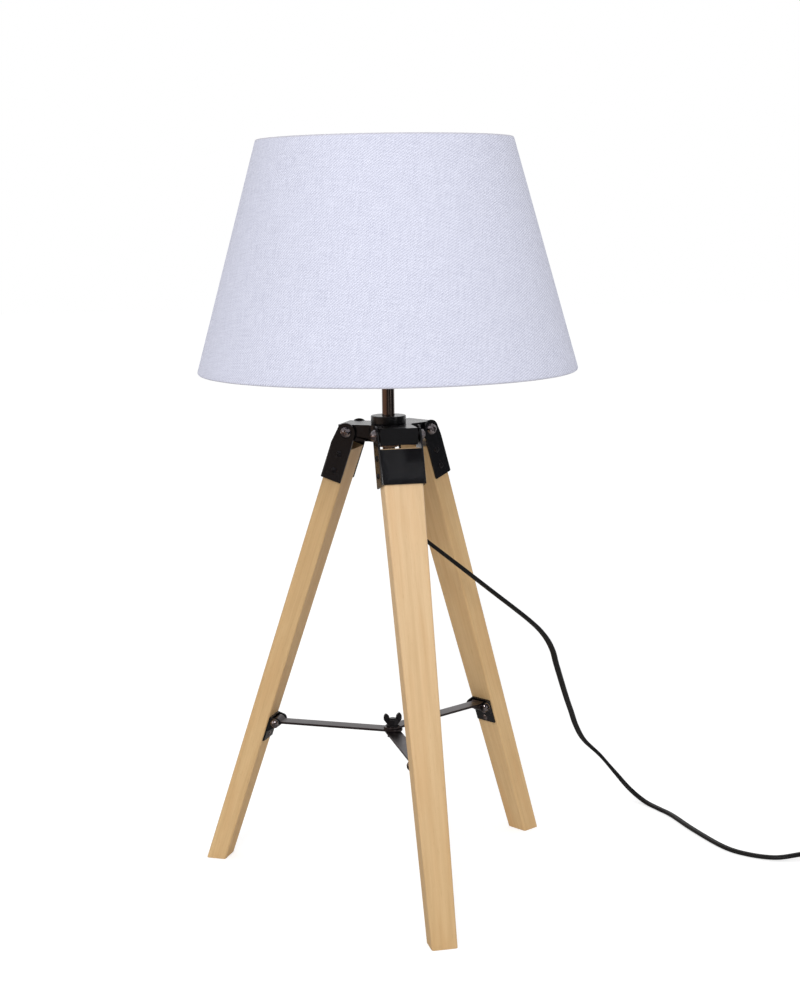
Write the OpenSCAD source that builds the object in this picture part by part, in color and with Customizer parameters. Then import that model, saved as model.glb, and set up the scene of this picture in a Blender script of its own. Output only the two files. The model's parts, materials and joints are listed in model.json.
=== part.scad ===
// Table lamp on a folding tripod of three tapered wooden legs.
// The legs hang on a lobed steel hub and are tied by three flat stay bars clamped on one bolt.
// A tapered fabric shade sits on the lampholder, and a flat flex leaves below the hub.
// Z is up, Z = 0 is the table, the axis of the lamp is at X = Y = 0, and the front leg points to -Y.

/* [Tripod] */
// Height of the leg hinges above the table
hinge_z = 367; // [320:1:420]
// Distance of the hinges from the axis of the lamp
hinge_r = 30; // [28:0.5:34]
// Distance of each foot's centre from the axis
foot_r = 155.5; // [140:0.5:175]
// Width of a leg at the height of its hinge
leg_top_w = 32.6; // [31:0.1:36]
// Width of a leg at its foot
leg_foot_w = 20; // [16:0.5:26]
// Thickness of a leg, inner face to outer face
leg_t = 16; // [14:0.5:20]
// Distance along the leg from the hinge to the end of the wood
leg_start = 12; // [11:0.5:16]

/* [Hub] */
// Width of each lobe of the hub
lobe_w = 30; // [26:0.5:30.5]
// Reach of each lobe from the axis
lobe_r = 37; // [36:0.5:42]
// Radius of the middle of the hub
hub_r = 19; // [17.5:0.5:21]
// Depth of the hub below the hinges
hub_below = 7; // [5:0.5:8]
// Height of the hub above the hinges
hub_above = 6; // [5:0.5:8]
// Diameter of the collar on the hub
collar_d = 28; // [22:0.5:34]
// Height of the collar
collar_h = 6.5; // [4:0.5:10]
// Diameter of the hinge bolts
bolt_d = 4; // [3:0.5:5]
// Diameter of the domed heads of the hinge bolts
bolt_head_d = 9.5; // [8:0.5:11]
// Height of the domed heads
bolt_head_h = 3.6; // [2.5:0.1:4.5]
// Width across the flats of the hinge nuts
bolt_nut_af = 7; // [6:0.5:9]
// Height of the hinge nuts
bolt_nut_h = 3.2; // [2.4:0.1:4.5]
// Depth of the cross recess in the bolt heads
recess_h = 1.4; // [0.5:0.1:2]
// Width of the slots of the cross recess
recess_w = 1.1; // [0.8:0.1:1.6]

/* [Leg brackets] */
// Thickness of the sheet steel of the leg brackets
sheet_t = 1.5; // [1:0.1:2]
// Distance along the leg from the hinge to the top of the outer plate
plate_start = 13; // [10:0.5:14]
// Distance along the leg from the hinge to the lower edge of the bracket
plate_end = 40.5; // [34:0.5:50]
// Radius of the ears round the hinge bolt
ear_r = 7.5; // [6.5:0.1:8]
// Distance along the leg from the hinge to the first screw
screw_first = 18; // [16:0.5:20]
// Distance between the two screws of a flange
screw_step = 14; // [8:0.5:14]
// Diameter of the screw heads
screw_head_d = 5; // [4:0.1:6]
// Height of the screw heads
screw_head_h = 1.4; // [1:0.1:2]
// Diameter of the screws
screw_d = 2.6; // [2:0.1:3.2]
// Length of the screws below the head
screw_len = 10; // [7:0.5:12]

/* [Stays] */
// Height of the stay pins above the table
stay_z = 122; // [100:1:160]
// Width of the stay bars
bar_w = 12; // [9:0.5:14]
// Thickness of the stay bars
bar_t = 1.8; // [1.5:0.1:2]
// Gap between the stacked stay bars
bar_gap = 0.3; // [0.2:0.05:0.4]
// Diameter of the stay pins
pin_d = 3.8; // [3:0.1:4.2]
// Wall of the rolled eye round the pin
eye_t = 1.8; // [1.5:0.1:2]
// Distance of the pin from the stay plate
pin_off = 4.1; // [4:0.05:5]
// Width of the stay plates
stay_w = 20; // [18:0.5:22]
// Length of the stay plates below the pin
stay_len = 18; // [17:0.5:24]
// Thickness of the ears of the stay plates
stay_ear_t = 1.2; // [1:0.1:1.6]
// Diameter of the pin heads
pin_head_d = 7.5; // [6:0.1:8]
// Height of the pin heads
pin_head_h = 2.2; // [1.5:0.1:3]
// Distance from the pin to the first screw of a stay plate
stay_screw_first = 8; // [7.5:0.1:9]
// Distance between the two screws of a stay plate
stay_screw_step = 6.5; // [6:0.1:7.5]
// Height of the screw heads on the stay plates
stay_screw_head_h = 1; // [0.6:0.1:1.2]
// Reach of the stay bars past the centre bolt
bar_past = 8; // [7:0.5:10]
// Diameter of the centre bolt
stud_d = 5; // [4:0.1:6]
// Width across the flats of the centre bolt's head
stud_head_af = 8; // [7:0.5:10]
// Height of the centre bolt's head
stud_head_h = 3.4; // [2.5:0.1:5]
// Diameter of the washer under the wing nut
washer_d = 11; // [9:0.5:13]
// Thickness of the washer
washer_t = 0.8; // [0.5:0.1:1.5]
// Diameter of the boss of the wing nut
wing_boss_d = 9; // [8:0.5:11]
// Height of the boss of the wing nut
wing_boss_h = 4.6; // [3.5:0.1:6]
// Reach of the wing tips from the centre bolt
wing_reach = 8; // [7:0.5:11]
// Rise of the wing tips above the washer
wing_rise = 7.4; // [5:0.1:10]
// Radius of the round wing tips
wing_tip_r = 2.3; // [1.8:0.1:3]
// Thickness of the wings
wing_t = 2; // [1.5:0.1:2.6]

/* [Pole and lampholder] */
// Outer diameter of the pole
pole_d = 10; // [9:0.1:10.4]
// Bore of the pole
pole_bore = 7.2; // [6.4:0.1:7.6]
// Length of the pole above the collar
pole_out = 52; // [40:1:80]
// Length of the pole below the hub
pole_under = 8; // [7:0.5:12]
// Width across the flats of the nut under the hub
pole_nut_af = 15; // [13:0.5:18]
// Height of the nut under the hub
pole_nut_h = 5.5; // [4:0.1:6.5]
// Length of the neck of the lampholder on the pole
neck_h = 10; // [8:0.5:14]
// Diameter of the neck of the lampholder
neck_d = 17; // [14:0.5:22]
// Diameter of the cap of the lampholder
cap_d = 43; // [41:0.5:46]
// Height of the cap of the lampholder
cap_h = 14; // [10:0.5:20]
// Wall of the lampholder
holder_wall = 2; // [1.5:0.1:3]
// Outer diameter of the skirt of the lampholder
skirt_d = 37.4; // [36:0.1:39]
// Height of the skirt above the cap
skirt_h = 42; // [38:0.5:50]
// Inner diameter of the screw shell, for an E27 bulb
shell_bore = 26.6; // [26.4:0.05:26.8]
// Wall of the screw shell
shell_wall = 1; // [0.5:0.1:1.5]
// Height of the screw shell
shell_h = 22; // [20:0.5:26]
// Height of the insulator under the screw shell
insulator_h = 13; // [8:0.5:14]

/* [Shade] */
// Diameter of the shade at its lower rim
shade_bottom_d = 300; // [260:1:340]
// Diameter of the shade at its upper rim
shade_top_d = 200; // [160:1:240]
// Height of the shade
shade_h = 179.5; // [150:0.5:220]
// Thickness of the shade
shade_t = 0.8; // [0.6:0.1:1.5]
// Depth of the lower rim below the shade ring
shade_drop = 30.5; // [20:0.5:45]
// Diameter of the wire of the shade's rings
wire_d = 2.5; // [2:0.1:4]
// Diameter of the spokes of the shade
spoke_d = 2.2; // [1.6:0.1:2.4]
// Outer diameter of the shade ring round the lampholder
ring_d = 54; // [52:0.5:60]
// Thickness of the shade ring
ring_t = 1.5; // [1:0.1:2]
// Outer diameter of the nut that holds the shade
ring_nut_d = 48; // [46:0.5:49]
// Height of the nut that holds the shade
ring_nut_h = 8; // [6:0.5:12]

/* [Cord] */
// Width of the flat flex
cord_w = 5.2; // [5:0.1:5.4]
// Thickness of the flat flex
cord_t = 3.2; // [3:0.1:3.4]
// Length of the tapered cord grip below the pole
grip_len = 20; // [12:0.5:28]
// Diameter of the cord grip at its tip
grip_tip_d = 7.2; // [6.4:0.1:8]
// Length of the inline switch
switch_l = 54; // [48:1:60]
// Width of the inline switch
switch_w = 22; // [20:0.5:26]
// Height of the inline switch
switch_h = 13; // [12:0.5:16]
// Wall of the inline switch
switch_wall = 1.5; // [1:0.1:2]
// Length of the rocker
rocker_l = 16; // [14:0.5:18]
// Width of the rocker
rocker_w = 8.4; // [7:0.1:9]
// Tilt of the rocker to each side
rocker_tilt = 8; // [5:1:9]
// Width of the plug
plug_w = 26; // [25:0.5:30]
// Thickness of the plug
plug_t = 13.6; // [12:0.1:16]
// Length of the plug's body
plug_l = 34; // [30:1:40]
// Length of the plug's boot
boot_l = 12; // [10:1:16]
// Diameter of the plug's pins
prong_d = 4; // [4:0.1:4.8]
// Distance between the plug's pins
prong_step = 18.6; // [17:0.1:19]
// Length of the plug's pins
prong_l = 19; // [17:0.5:19]

/* [Fits] */
// Radial clearance of a pin or bolt in its hole
fit_gap = 0.05; // [0.02:0.01:0.08]
// Gap between two faces that turn on each other
face_gap = 0.1; // [0.05:0.05:0.2]
// Gap between fixed parts that don't press on each other
seat_gap = 0.1; // [0.05:0.05:0.2]

/* [Hidden] */
$fn = 48;

// Places of the legs round the axis, in thirds of a turn
FRONT = 0;
RIGHT = 1;
LEFT = 2;
big = 400;

// The lean of the legs, and the length of a leg's centre line from hinge to table
lean = atan((foot_r - hinge_r) / hinge_z);
leg_len = hinge_z / cos(lean);
// Half the width of a leg at a distance along it
function leg_half(s) = (leg_top_w + (leg_foot_w - leg_top_w) * s / leg_len) / 2;

hub_z0 = hinge_z - hub_below;
hub_z1 = hinge_z + hub_above;
collar_z1 = hub_z1 + collar_h;
pole_z0 = hub_z0 - pole_under;
pole_z1 = collar_z1 + pole_out;
// Inside of the flanges of a leg bracket, clear of the wood at the first screw
flange_x = leg_top_w / 2 + seat_gap;
bolt_seat = flange_x + sheet_t + face_gap;

// The stay pins in a leg's own frame, and their distance from the axis
inner_y = leg_t / 2;
pin_y = inner_y + sheet_t + pin_off;
pin_s = (hinge_z - stay_z - pin_y * sin(lean)) / cos(lean);
stay_r = hinge_r - pin_y * cos(lean) + pin_s * sin(lean);
eye_r = pin_d / 2 + fit_gap + eye_t;
// The front bar lies lowest, the left bar in the middle and the right bar on top
bar_step = bar_t + bar_gap;
top_z = stay_z + bar_step + bar_t / 2;
low_z = stay_z - bar_step - bar_t / 2;
stud_z1 = top_z + washer_t + wing_boss_h + 1;

// The lampholder stands on the pole
neck_z0 = pole_z1 - neck_h;
cap_z0 = pole_z1;
cap_z1 = cap_z0 + cap_h;
skirt_z1 = cap_z1 + skirt_h;
shell_r = shell_bore / 2 + shell_wall;
skirt_bore = 2 * (shell_r + seat_gap);
shell_z1 = skirt_z1 - holder_wall;
shell_z0 = shell_z1 - shell_h;
insulator_z0 = shell_z0 - insulator_h;
ring_z0 = cap_z1;
ring_z1 = ring_z0 + ring_t;
shade_z0 = ring_z0 - shade_drop;
shade_z1 = shade_z0 + shade_h;
shade_slope = (shade_bottom_d - shade_top_d) / 2 / shade_h;
// Radius of a wire ring that lies inside the shade at height z
function ring_r(z) = shade_bottom_d / 2 - shade_t - (z - shade_z0) * shade_slope
  - (wire_d / 2 + seat_gap) * sqrt(1 + shade_slope * shade_slope);
low_ring_z = shade_z0 + wire_d / 2 + seat_gap;
top_ring_z = shade_z1 - wire_d / 2 - seat_gap;

// The inline switch, the coil and the plug lie on the table beside the lamp
switch_x0 = 346;
switch_x = switch_x0 + switch_l / 2;
switch_y = -62;
switch_axis = switch_h / 2;
pivot_z = switch_h - 3.5;
coil_x = 408;
coil_z = 2.4;
coil_r = 22.25;
coil_pitch = 5.9;
coil_layer = 3.9;
coil_turns = 2.5;
coil_out = coil_r + coil_pitch * coil_turns;
coil_rings = 24;
plug_y = 30;
tie_t = 0.6;
tie_w = 6;

// Points along the flex: from the cord grip to the switch, to the coil, and from the coil to the plug
EXIT_Z = pole_z0 - grip_len;
RUN = [
  [0, 0, EXIT_Z], [0, 0, 321], [2, -1, 309], [7, -3, 298], [15, -6, 289], [28, -11, 278],
  [55, -9, 256], [83, 0, 233], [122, 19, 201], [139, 30, 184], [150, 42, 168],
  [158, 55, 151], [176, 84, 115], [186, 99, 96], [196, 114, 77], [208, 126, 59],
  [225, 131, 42], [239, 129, 25], [250, 120, 11], [259, 105, 3], [265, 86, 1.8], [270, 66, 1.8],
  [274, 26, 1.8], [282, -20, 1.8], [294, -42, 1.8], [312, -57, 2.4],
  [330, -62, 4.8], [switch_x0, switch_y, switch_axis]
];
LEAD = [
  [switch_x0 + switch_l, switch_y, switch_axis], [410, -62, 5.6], [421, -59, 4], [432, -52, 2.8], [440, -42, 2.4],
  [444, -30, 2.4], [445, -18, 2.4], [445, -5.2, 2.4]
];
TAIL = [[445, 5.2, 6.3], [445, 13, 6.4], [445, 21, 6.8], [445, plug_y, plug_t / 2]];

// A smooth curve through the points p, with steps places for each pair of points
function ahead(p, i) = i < 0 ? 2 * p[0] - p[1]
  : i > len(p) - 1 ? 2 * p[len(p) - 1] - p[len(p) - 2] : p[i];
function between(a, b, c, d, t) = b + (c - a) * t / 2 + (2 * a - 5 * b + 4 * c - d) * t * t / 2
  + (3 * b - a - 3 * c + d) * t * t * t / 2;
function smooth(p, steps) = [
  for (i = [0:len(p) - 2]) for (j = [0:steps - 1])
    between(ahead(p, i - 1), p[i], p[i + 1], ahead(p, i + 2), j / steps),
  p[len(p) - 1]
];
function unit(v) = v / norm(v);
function tangent(p, i) = unit(ahead(p, i + 1) - ahead(p, i - 1));
// The flat side of the flex lies level; where it hangs straight it keeps the side of its first bend
function side(t) = norm([t.x, t.y]) < 0.02 ? unit([1, 2, 0]) : unit([-t.y, t.x, 0]);
function oval(p, i, n) = let (t = tangent(p, i), s = side(t), u = cross(t, s))
  [for (j = [0:n - 1]) p[i] + s * cord_w / 2 * cos(360 * j / n) + u * cord_t / 2 * sin(360 * j / n)];

// The coil spirals in on the table, climbs one layer in the half turn at its middle, and spirals out
function coil_place(turn) = let (
    r = coil_r + coil_pitch * abs(turn - coil_turns),
    up = min(1, max(0, (turn - coil_turns + 0.25) * 2))
  ) [coil_x + r * cos(360 * turn), r * sin(360 * turn), coil_z + coil_layer * up];
coil_loops = [for (i = [0:2 * coil_turns * coil_rings]) coil_place(i / coil_rings)];
coil_path = concat([coil_loops[0] - [0, cord_w, 0]], coil_loops,
  [coil_loops[len(coil_loops) - 1] + [0, cord_w, 0]]);
// The least gap of the coil to itself, between its rings that stand side by side
coil_gap = min([
  for (i = [1:len(coil_path) - 2 - coil_rings]) for (k = [i + coil_rings:coil_rings:len(coil_path) - 2])
    for (a = oval(coil_path, i, 6)) for (b = oval(coil_path, k, 6)) norm(a - b)
]);
echo(coil_gap = coil_gap);

module tube(path, n) {
  count = len(path);
  rings = [for (i = [0:count - 1]) each oval(path, i, n)];
  walls = [
    for (i = [0:count - 2]) for (j = [0:n - 1])
      let (a = i * n + j, b = i * n + (j + 1) % n, c = b + n, d = a + n) each [[a, c, b], [a, d, c]]
  ];
  first = [for (j = [1:n - 2]) [0, j, j + 1]];
  last = [for (j = [1:n - 2]) [(count - 1) * n, (count - 1) * n + j + 1, (count - 1) * n + j]];
  polyhedron(rings, concat(walls, first, last));
}

// Puts its children in the frame of leg k: the hinge at the origin, the leg's inside towards +Y
module on_leg(k) {
  rotate([0, 0, 120 * k]) translate([0, -hinge_r, hinge_z]) rotate([-lean, 0, 0]) children();
}
// Turns a shape drawn along Z so that it points along X
module along_x() {
  rotate([0, 90, 0]) children();
}
module domed(r, h) {
  ball = (r * r + h * h) / (2 * h);
  intersection() {
    translate([0, 0, h - ball]) sphere(ball);
    cylinder(r = r + 1, h = h + 1);
  }
}
module cross_head(r, h) {
  difference() {
    domed(r, h);
    for (a = [0, 90]) rotate([0, 0, a])
      translate([-r / 2, -recess_w / 2, h - recess_h]) cube([r, recess_w, recess_h + 1]);
  }
}
module tube_ring(r_out, r_in, z0, z1) {
  difference() {
    translate([0, 0, z0]) cylinder(r = r_out, h = z1 - z0);
    translate([0, 0, z0 - 1]) cylinder(r = r_in, h = z1 - z0 + 2);
  }
}
module hexagon(af, z0, h, bore) {
  difference() {
    translate([0, 0, z0]) cylinder(d = af / cos(30), h = h, $fn = 6);
    translate([0, 0, z0 - 1]) cylinder(d = bore, h = h + 2);
  }
}

module hub() {
  color("#2b2a2f") difference() {
    union() {
      translate([0, 0, hub_z0]) cylinder(r = hub_r, h = hub_z1 - hub_z0);
      for (k = [FRONT, RIGHT, LEFT]) rotate([0, 0, 120 * k])
        translate([-lobe_w / 2, -lobe_r, hub_z0]) cube([lobe_w, lobe_r, hub_z1 - hub_z0]);
    }
    translate([0, 0, hub_z0 - 1]) cylinder(d = pole_d + 2 * fit_gap, h = hub_z1 - hub_z0 + 2);
    for (k = [FRONT, RIGHT, LEFT]) rotate([0, 0, 120 * k]) translate([-lobe_w, -hinge_r, hinge_z])
      along_x() cylinder(d = bolt_d + 2 * fit_gap, h = 2 * lobe_w);
  }
}
module hub_collar() {
  color("#2b2a2f") tube_ring(collar_d / 2, pole_d / 2 + fit_gap, hub_z1, collar_z1);
}
module pole() {
  color("#4a423d") tube_ring(pole_d / 2, pole_bore / 2, pole_z0, pole_z1);
}
module pole_nut() {
  color("#8d8a88") hexagon(pole_nut_af, hub_z0 - pole_nut_h, pole_nut_h, pole_d + 2 * fit_gap);
}
// The nipple of the grip sits in the pole, and its taper keeps the flex from kinking
module cord_grip() {
  color("#222222") difference() {
    union() {
      translate([0, 0, EXIT_Z]) cylinder(d1 = grip_tip_d, d2 = pole_d, h = grip_len);
      translate([0, 0, pole_z0 - 1]) cylinder(d = pole_bore - 2 * fit_gap, h = pole_under + 1);
    }
    translate([0, 0, EXIT_Z - 1]) cylinder(d = cord_w + 2 * fit_gap, h = grip_len + pole_under + 2);
  }
}
module cord_inside() {
  color("#262626") translate([0, 0, EXIT_Z]) cylinder(d = cord_w, h = insulator_z0 - seat_gap - EXIT_Z);
}

module hinge_bolt(k, way) {
  color("#c9c9cc") on_leg(k) mirror([way < 0 ? 0 : 1, 0, 0]) {
    translate([-bolt_seat, 0, 0]) along_x() cylinder(d = bolt_d, h = 2 * bolt_seat + bolt_nut_h + 1);
    translate([-bolt_seat, 0, 0]) rotate([0, -90, 0]) cross_head(bolt_head_d / 2, bolt_head_h);
  }
}
module hinge_nut(k, way) {
  color("#c9c9cc") on_leg(k) mirror([way < 0 ? 0 : 1, 0, 0])
    translate([bolt_seat, 0, 0]) along_x() hexagon(bolt_nut_af, 0, bolt_nut_h, bolt_d + 2 * fit_gap);
}

// A leg tapers towards its foot, which is cut level with the table
module leg(k) {
  color("#deb98a") difference() {
    on_leg(k) translate([0, leg_t / 2, 0]) rotate([90, 0, 0]) linear_extrude(leg_t) polygon([
      [-leg_half(leg_start), -leg_start], [leg_half(leg_start), -leg_start],
      [leg_half(leg_len + leg_t), -leg_len - leg_t], [-leg_half(leg_len + leg_t), -leg_len - leg_t]
    ]);
    translate([-big, -big, -big]) cube([2 * big, 2 * big, big]);
    on_leg(k) {
      for (s = [screw_first, screw_first + screw_step]) for (x = [-1, 1])
        translate([x * (flange_x + sheet_t - screw_len / 2), 0, -s]) along_x()
          cylinder(d = screw_d + 2 * fit_gap, h = screw_len + 2 * fit_gap, center = true);
      for (s = [stay_screw_first, stay_screw_first + stay_screw_step])
        translate([0, inner_y - screw_len + sheet_t - fit_gap, -pin_s - s]) rotate([-90, 0, 0])
          cylinder(d = screw_d + 2 * fit_gap, h = screw_len + 2);
    }
  }
}
// Outline of a flange: the ear round the bolt, and the part that lies on the wood
module flange() {
  out = -leg_t / 2 - sheet_t;
  circle(r = ear_r);
  polygon([
    [-ear_r, 0], [out, -plate_start], [out, -plate_end], [inner_y, -plate_end],
    [inner_y, -plate_start], [ear_r, 0]
  ]);
}
module leg_bracket(k) {
  color("#2b2a2f") on_leg(k) difference() {
    union() {
      for (x = [-flange_x - sheet_t, flange_x]) translate([x, 0, 0])
        rotate([90, 0, 90]) linear_extrude(sheet_t) flange();
      translate([-flange_x - sheet_t / 2, -leg_t / 2 - sheet_t, -plate_end])
        cube([2 * flange_x + sheet_t, sheet_t, plate_end - plate_start]);
    }
    translate([-big / 2, 0, 0]) along_x() cylinder(d = bolt_d + 2 * fit_gap, h = big);
    for (s = [screw_first, screw_first + screw_step]) translate([-big / 2, 0, -s])
      along_x() cylinder(d = screw_d + 2 * fit_gap, h = big);
  }
}
// A round-headed screw that points along -Z, its head on the plane Z = 0
module screw(head_h) {
  cross_shallow = head_h / 2;
  difference() {
    union() {
      domed(screw_head_d / 2, head_h);
      translate([0, 0, -screw_len]) cylinder(d = screw_d, h = screw_len + head_h / 4);
    }
    for (a = [0, 90]) rotate([0, 0, a]) translate([-screw_head_d / 4, -recess_w / 4, cross_shallow])
      cube([screw_head_d / 2, recess_w / 2, head_h]);
  }
}
module bracket_screws(k) {
  color("#3a393d") on_leg(k) for (s = [screw_first, screw_first + screw_step]) for (x = [-1, 1])
    translate([x * (flange_x + sheet_t), 0, -s]) rotate([0, 90 * x, 0]) screw(screw_head_h);
}

module stay_plate(k) {
  outline = pin_d / 2 + fit_gap + eye_t;
  color("#2b2a2f") on_leg(k) difference() {
    union() {
      translate([-stay_w / 2, inner_y, -pin_s - stay_len]) cube([stay_w, sheet_t, stay_len + outline]);
      for (x = [-stay_w / 2, stay_w / 2 - stay_ear_t]) translate([x, 0, 0])
        rotate([90, 0, 90]) linear_extrude(stay_ear_t) {
          translate([pin_y, -pin_s]) circle(r = outline);
          polygon([
            [inner_y, outline - pin_s], [pin_y, outline - pin_s], [pin_y + outline, -pin_s],
            [inner_y + sheet_t, -pin_s - stay_len / 2], [inner_y, -pin_s - stay_len / 2]
          ]);
        }
    }
    translate([-stay_w, pin_y, -pin_s]) along_x() cylinder(d = pin_d + 2 * fit_gap, h = 2 * stay_w);
    for (s = [stay_screw_first, stay_screw_first + stay_screw_step])
      translate([0, 0, -pin_s - s]) rotate([-90, 0, 0]) cylinder(d = screw_d + 2 * fit_gap, h = leg_t);
  }
}
module stay_screws(k) {
  color("#8d8a88") on_leg(k) for (s = [stay_screw_first, stay_screw_first + stay_screw_step])
    translate([0, inner_y + sheet_t, -pin_s - s]) rotate([-90, 0, 0]) screw(stay_screw_head_h);
}
module stay_pin(k) {
  seat = stay_w / 2;
  color("#c9c9cc") on_leg(k) translate([0, pin_y, -pin_s]) {
    translate([-seat, 0, 0]) along_x() cylinder(d = pin_d, h = 2 * seat);
    translate([seat, 0, 0]) along_x() domed(pin_head_d / 2, pin_head_h);
    translate([-seat, 0, 0]) rotate([0, -90, 0]) cross_head(pin_head_d / 2, pin_head_h);
  }
}
// A flat bar from its eye on the pin to a round end past the centre; level counts the stack from the middle
module stay_bar(k, level) {
  z0 = stay_z + level * bar_step - bar_t / 2;
  color("#69625f") rotate([0, 0, 120 * k]) difference() {
    union() {
      translate([-bar_w / 2, -stay_r, z0]) cube([bar_w, stay_r + bar_past - bar_w / 2, bar_t]);
      translate([0, bar_past - bar_w / 2, z0]) cylinder(d = bar_w, h = bar_t);
      translate([-bar_w / 2, -stay_r, stay_z]) along_x() cylinder(r = eye_r, h = bar_w);
    }
    translate([-bar_w, -stay_r, stay_z]) along_x() cylinder(d = pin_d + 2 * fit_gap, h = 2 * bar_w);
    translate([0, 0, z0 - 1]) cylinder(d = stud_d + 2 * fit_gap, h = bar_t + 2);
  }
}
// The lower part of the clamp: the bolt's head and its shank in the lowest bar
module centre_bolt() {
  color("#3a393d") {
    translate([0, 0, low_z - stud_head_h]) cylinder(d = stud_head_af / cos(30), h = stud_head_h, $fn = 6);
    translate([0, 0, low_z - 0.5]) cylinder(d = stud_d, h = bar_t + 0.5);
  }
}
// The upper part of the clamp: the shank from the top bar through the washer and the wing nut
module centre_stud() {
  color("#3a393d") translate([0, 0, top_z - bar_t]) cylinder(d = stud_d, h = stud_z1 - top_z + bar_t);
}
module stay_washer() {
  color("#3a393d") tube_ring(washer_d / 2, stud_d / 2 + fit_gap, top_z, top_z + washer_t);
}
module wing_nut() {
  seat = top_z + washer_t + face_gap;
  color("#222222") difference() {
    union() {
      translate([0, 0, seat]) cylinder(d = wing_boss_d, h = wing_boss_h);
      for (x = [-1, 1]) rotate([90, 0, 0]) translate([0, 0, -wing_t / 2]) linear_extrude(wing_t) {
        translate([x * (wing_reach - wing_tip_r), seat + wing_rise - wing_tip_r]) circle(r = wing_tip_r);
        polygon([
          [x * stud_d / 2, seat + 0.4], [x * wing_boss_d / 2, seat + 0.4],
          [x * (wing_reach - wing_tip_r * 0.2), seat + wing_rise - wing_tip_r * 1.5],
          [x * (wing_reach - wing_tip_r * 1.7), seat + wing_rise - wing_tip_r * 0.4],
          [x * stud_d / 2, seat + wing_boss_h]
        ]);
      }
    }
    translate([0, 0, seat - 1]) cylinder(d = stud_d + 2 * fit_gap, h = wing_rise + 2);
  }
}

module lampholder_cap() {
  color("#26262a") difference() {
    union() {
      translate([0, 0, neck_z0]) cylinder(d = neck_d, h = neck_h + holder_wall);
      translate([0, 0, cap_z0 - holder_wall]) cylinder(d1 = cap_d - 8, d2 = cap_d, h = holder_wall * 2);
      translate([0, 0, cap_z0 + holder_wall]) cylinder(d = cap_d, h = cap_h - holder_wall);
    }
    translate([0, 0, neck_z0 - 1]) cylinder(d = pole_d + 2 * fit_gap, h = neck_h + 1);
    translate([0, 0, neck_z0]) cylinder(d = pole_bore, h = neck_h + cap_h);
    translate([0, 0, cap_z0 + holder_wall]) cylinder(d = skirt_d - 4 * holder_wall, h = cap_h);
  }
}
module lampholder_skirt() {
  color("#26262a") difference() {
    translate([0, 0, cap_z1]) cylinder(d = skirt_d, h = skirt_h);
    translate([0, 0, insulator_z0]) cylinder(d = skirt_bore, h = skirt_h);
    translate([0, 0, cap_z1 - 1]) cylinder(d = skirt_d - 4 * holder_wall - 6, h = skirt_h);
  }
}
module lampholder_insulator() {
  color("#e8e4da") difference() {
    translate([0, 0, insulator_z0]) cylinder(r = shell_r, h = insulator_h);
    translate([0, 0, shell_z0 - insulator_h / 2]) cylinder(r = shell_r - 4 * shell_wall, h = insulator_h);
  }
}
module lampholder_screw_shell() {
  color("#c9a24a") tube_ring(shell_r, shell_bore / 2, shell_z0, shell_z1);
}

// The ring round the lampholder, three spokes and the lower wire ring are one welded frame
module shade_frame() {
  spoke_r0 = ring_d / 2 - 1.5;
  run = ring_r(low_ring_z) - spoke_r0;
  fall = ring_z0 + ring_t / 2 - low_ring_z;
  color("#d8d8d8") {
    tube_ring(ring_d / 2, skirt_d / 2 + seat_gap, ring_z0, ring_z1);
    for (k = [FRONT, RIGHT, LEFT]) rotate([0, 0, 120 * k + 90])
      translate([spoke_r0, 0, ring_z0 + ring_t / 2]) rotate([0, 90 + atan(fall / run), 0])
        cylinder(d = spoke_d, h = norm([run, fall]));
    wire_ring(low_ring_z);
  }
}
module wire_ring(z) {
  rotate_extrude() translate([ring_r(z), z]) circle(d = wire_d, $fn = 24);
}
module shade_top_ring() {
  color("#d8d8d8") wire_ring(top_ring_z);
}
module shade_ring_nut() {
  z0 = ring_z1 + seat_gap;
  color("#26262a") tube_ring(ring_nut_d / 2, skirt_d / 2 + fit_gap, z0, z0 + ring_nut_h);
}
module shade_cover() {
  color("#dde0f0") rotate_extrude($fn = 96) polygon([
    [shade_bottom_d / 2 - shade_t, shade_z0], [shade_bottom_d / 2, shade_z0],
    [shade_top_d / 2, shade_z1], [shade_top_d / 2 - shade_t, shade_z1]
  ]);
}

module cord_run() {
  color("#262626") tube(smooth(RUN, 3), 8);
}
module cord_lead() {
  color("#262626") tube(smooth(LEAD, 2), 8);
}
module cord_coil() {
  color("#262626") tube(coil_path, 6);
}
module cord_tail() {
  color("#262626") tube(smooth(TAIL, 2), 8);
}
// A flat strap round all the turns, on the side away from the plug
module coil_tie() {
  r0 = coil_r - cord_w / 2 - seat_gap;
  r1 = coil_out + cord_w / 2 + seat_gap;
  z0 = coil_z - cord_t / 2 - seat_gap;
  z1 = coil_z + coil_layer + cord_t / 2 + seat_gap;
  color("#222222") translate([coil_x, tie_w / 2, 0]) rotate([90, 0, 0]) linear_extrude(tie_w) difference() {
    translate([-r1 - tie_t, z0 - tie_t]) square([r1 - r0 + 2 * tie_t, z1 - z0 + 2 * tie_t]);
    translate([-r1, z0]) square([r1 - r0, z1 - z0]);
  }
}

module rounded(l, w, r, z0, z1) {
  translate([0, 0, z0]) linear_extrude(z1 - z0) {
    square([l - 2 * r, w], center = true);
    square([l, w - 2 * r], center = true);
    for (x = [-1, 1]) for (y = [-1, 1]) translate([x * (l / 2 - r), y * (w / 2 - r)]) circle(r);
  }
}
module switch_base() {
  color("#26262a") translate([switch_x, switch_y, 0]) difference() {
    rounded(switch_l, switch_w, 6, 0, switch_axis);
    rounded(switch_l - 2 * switch_wall, switch_w - 2 * switch_wall, 6 - switch_wall, switch_wall, switch_h);
  }
}
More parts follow.
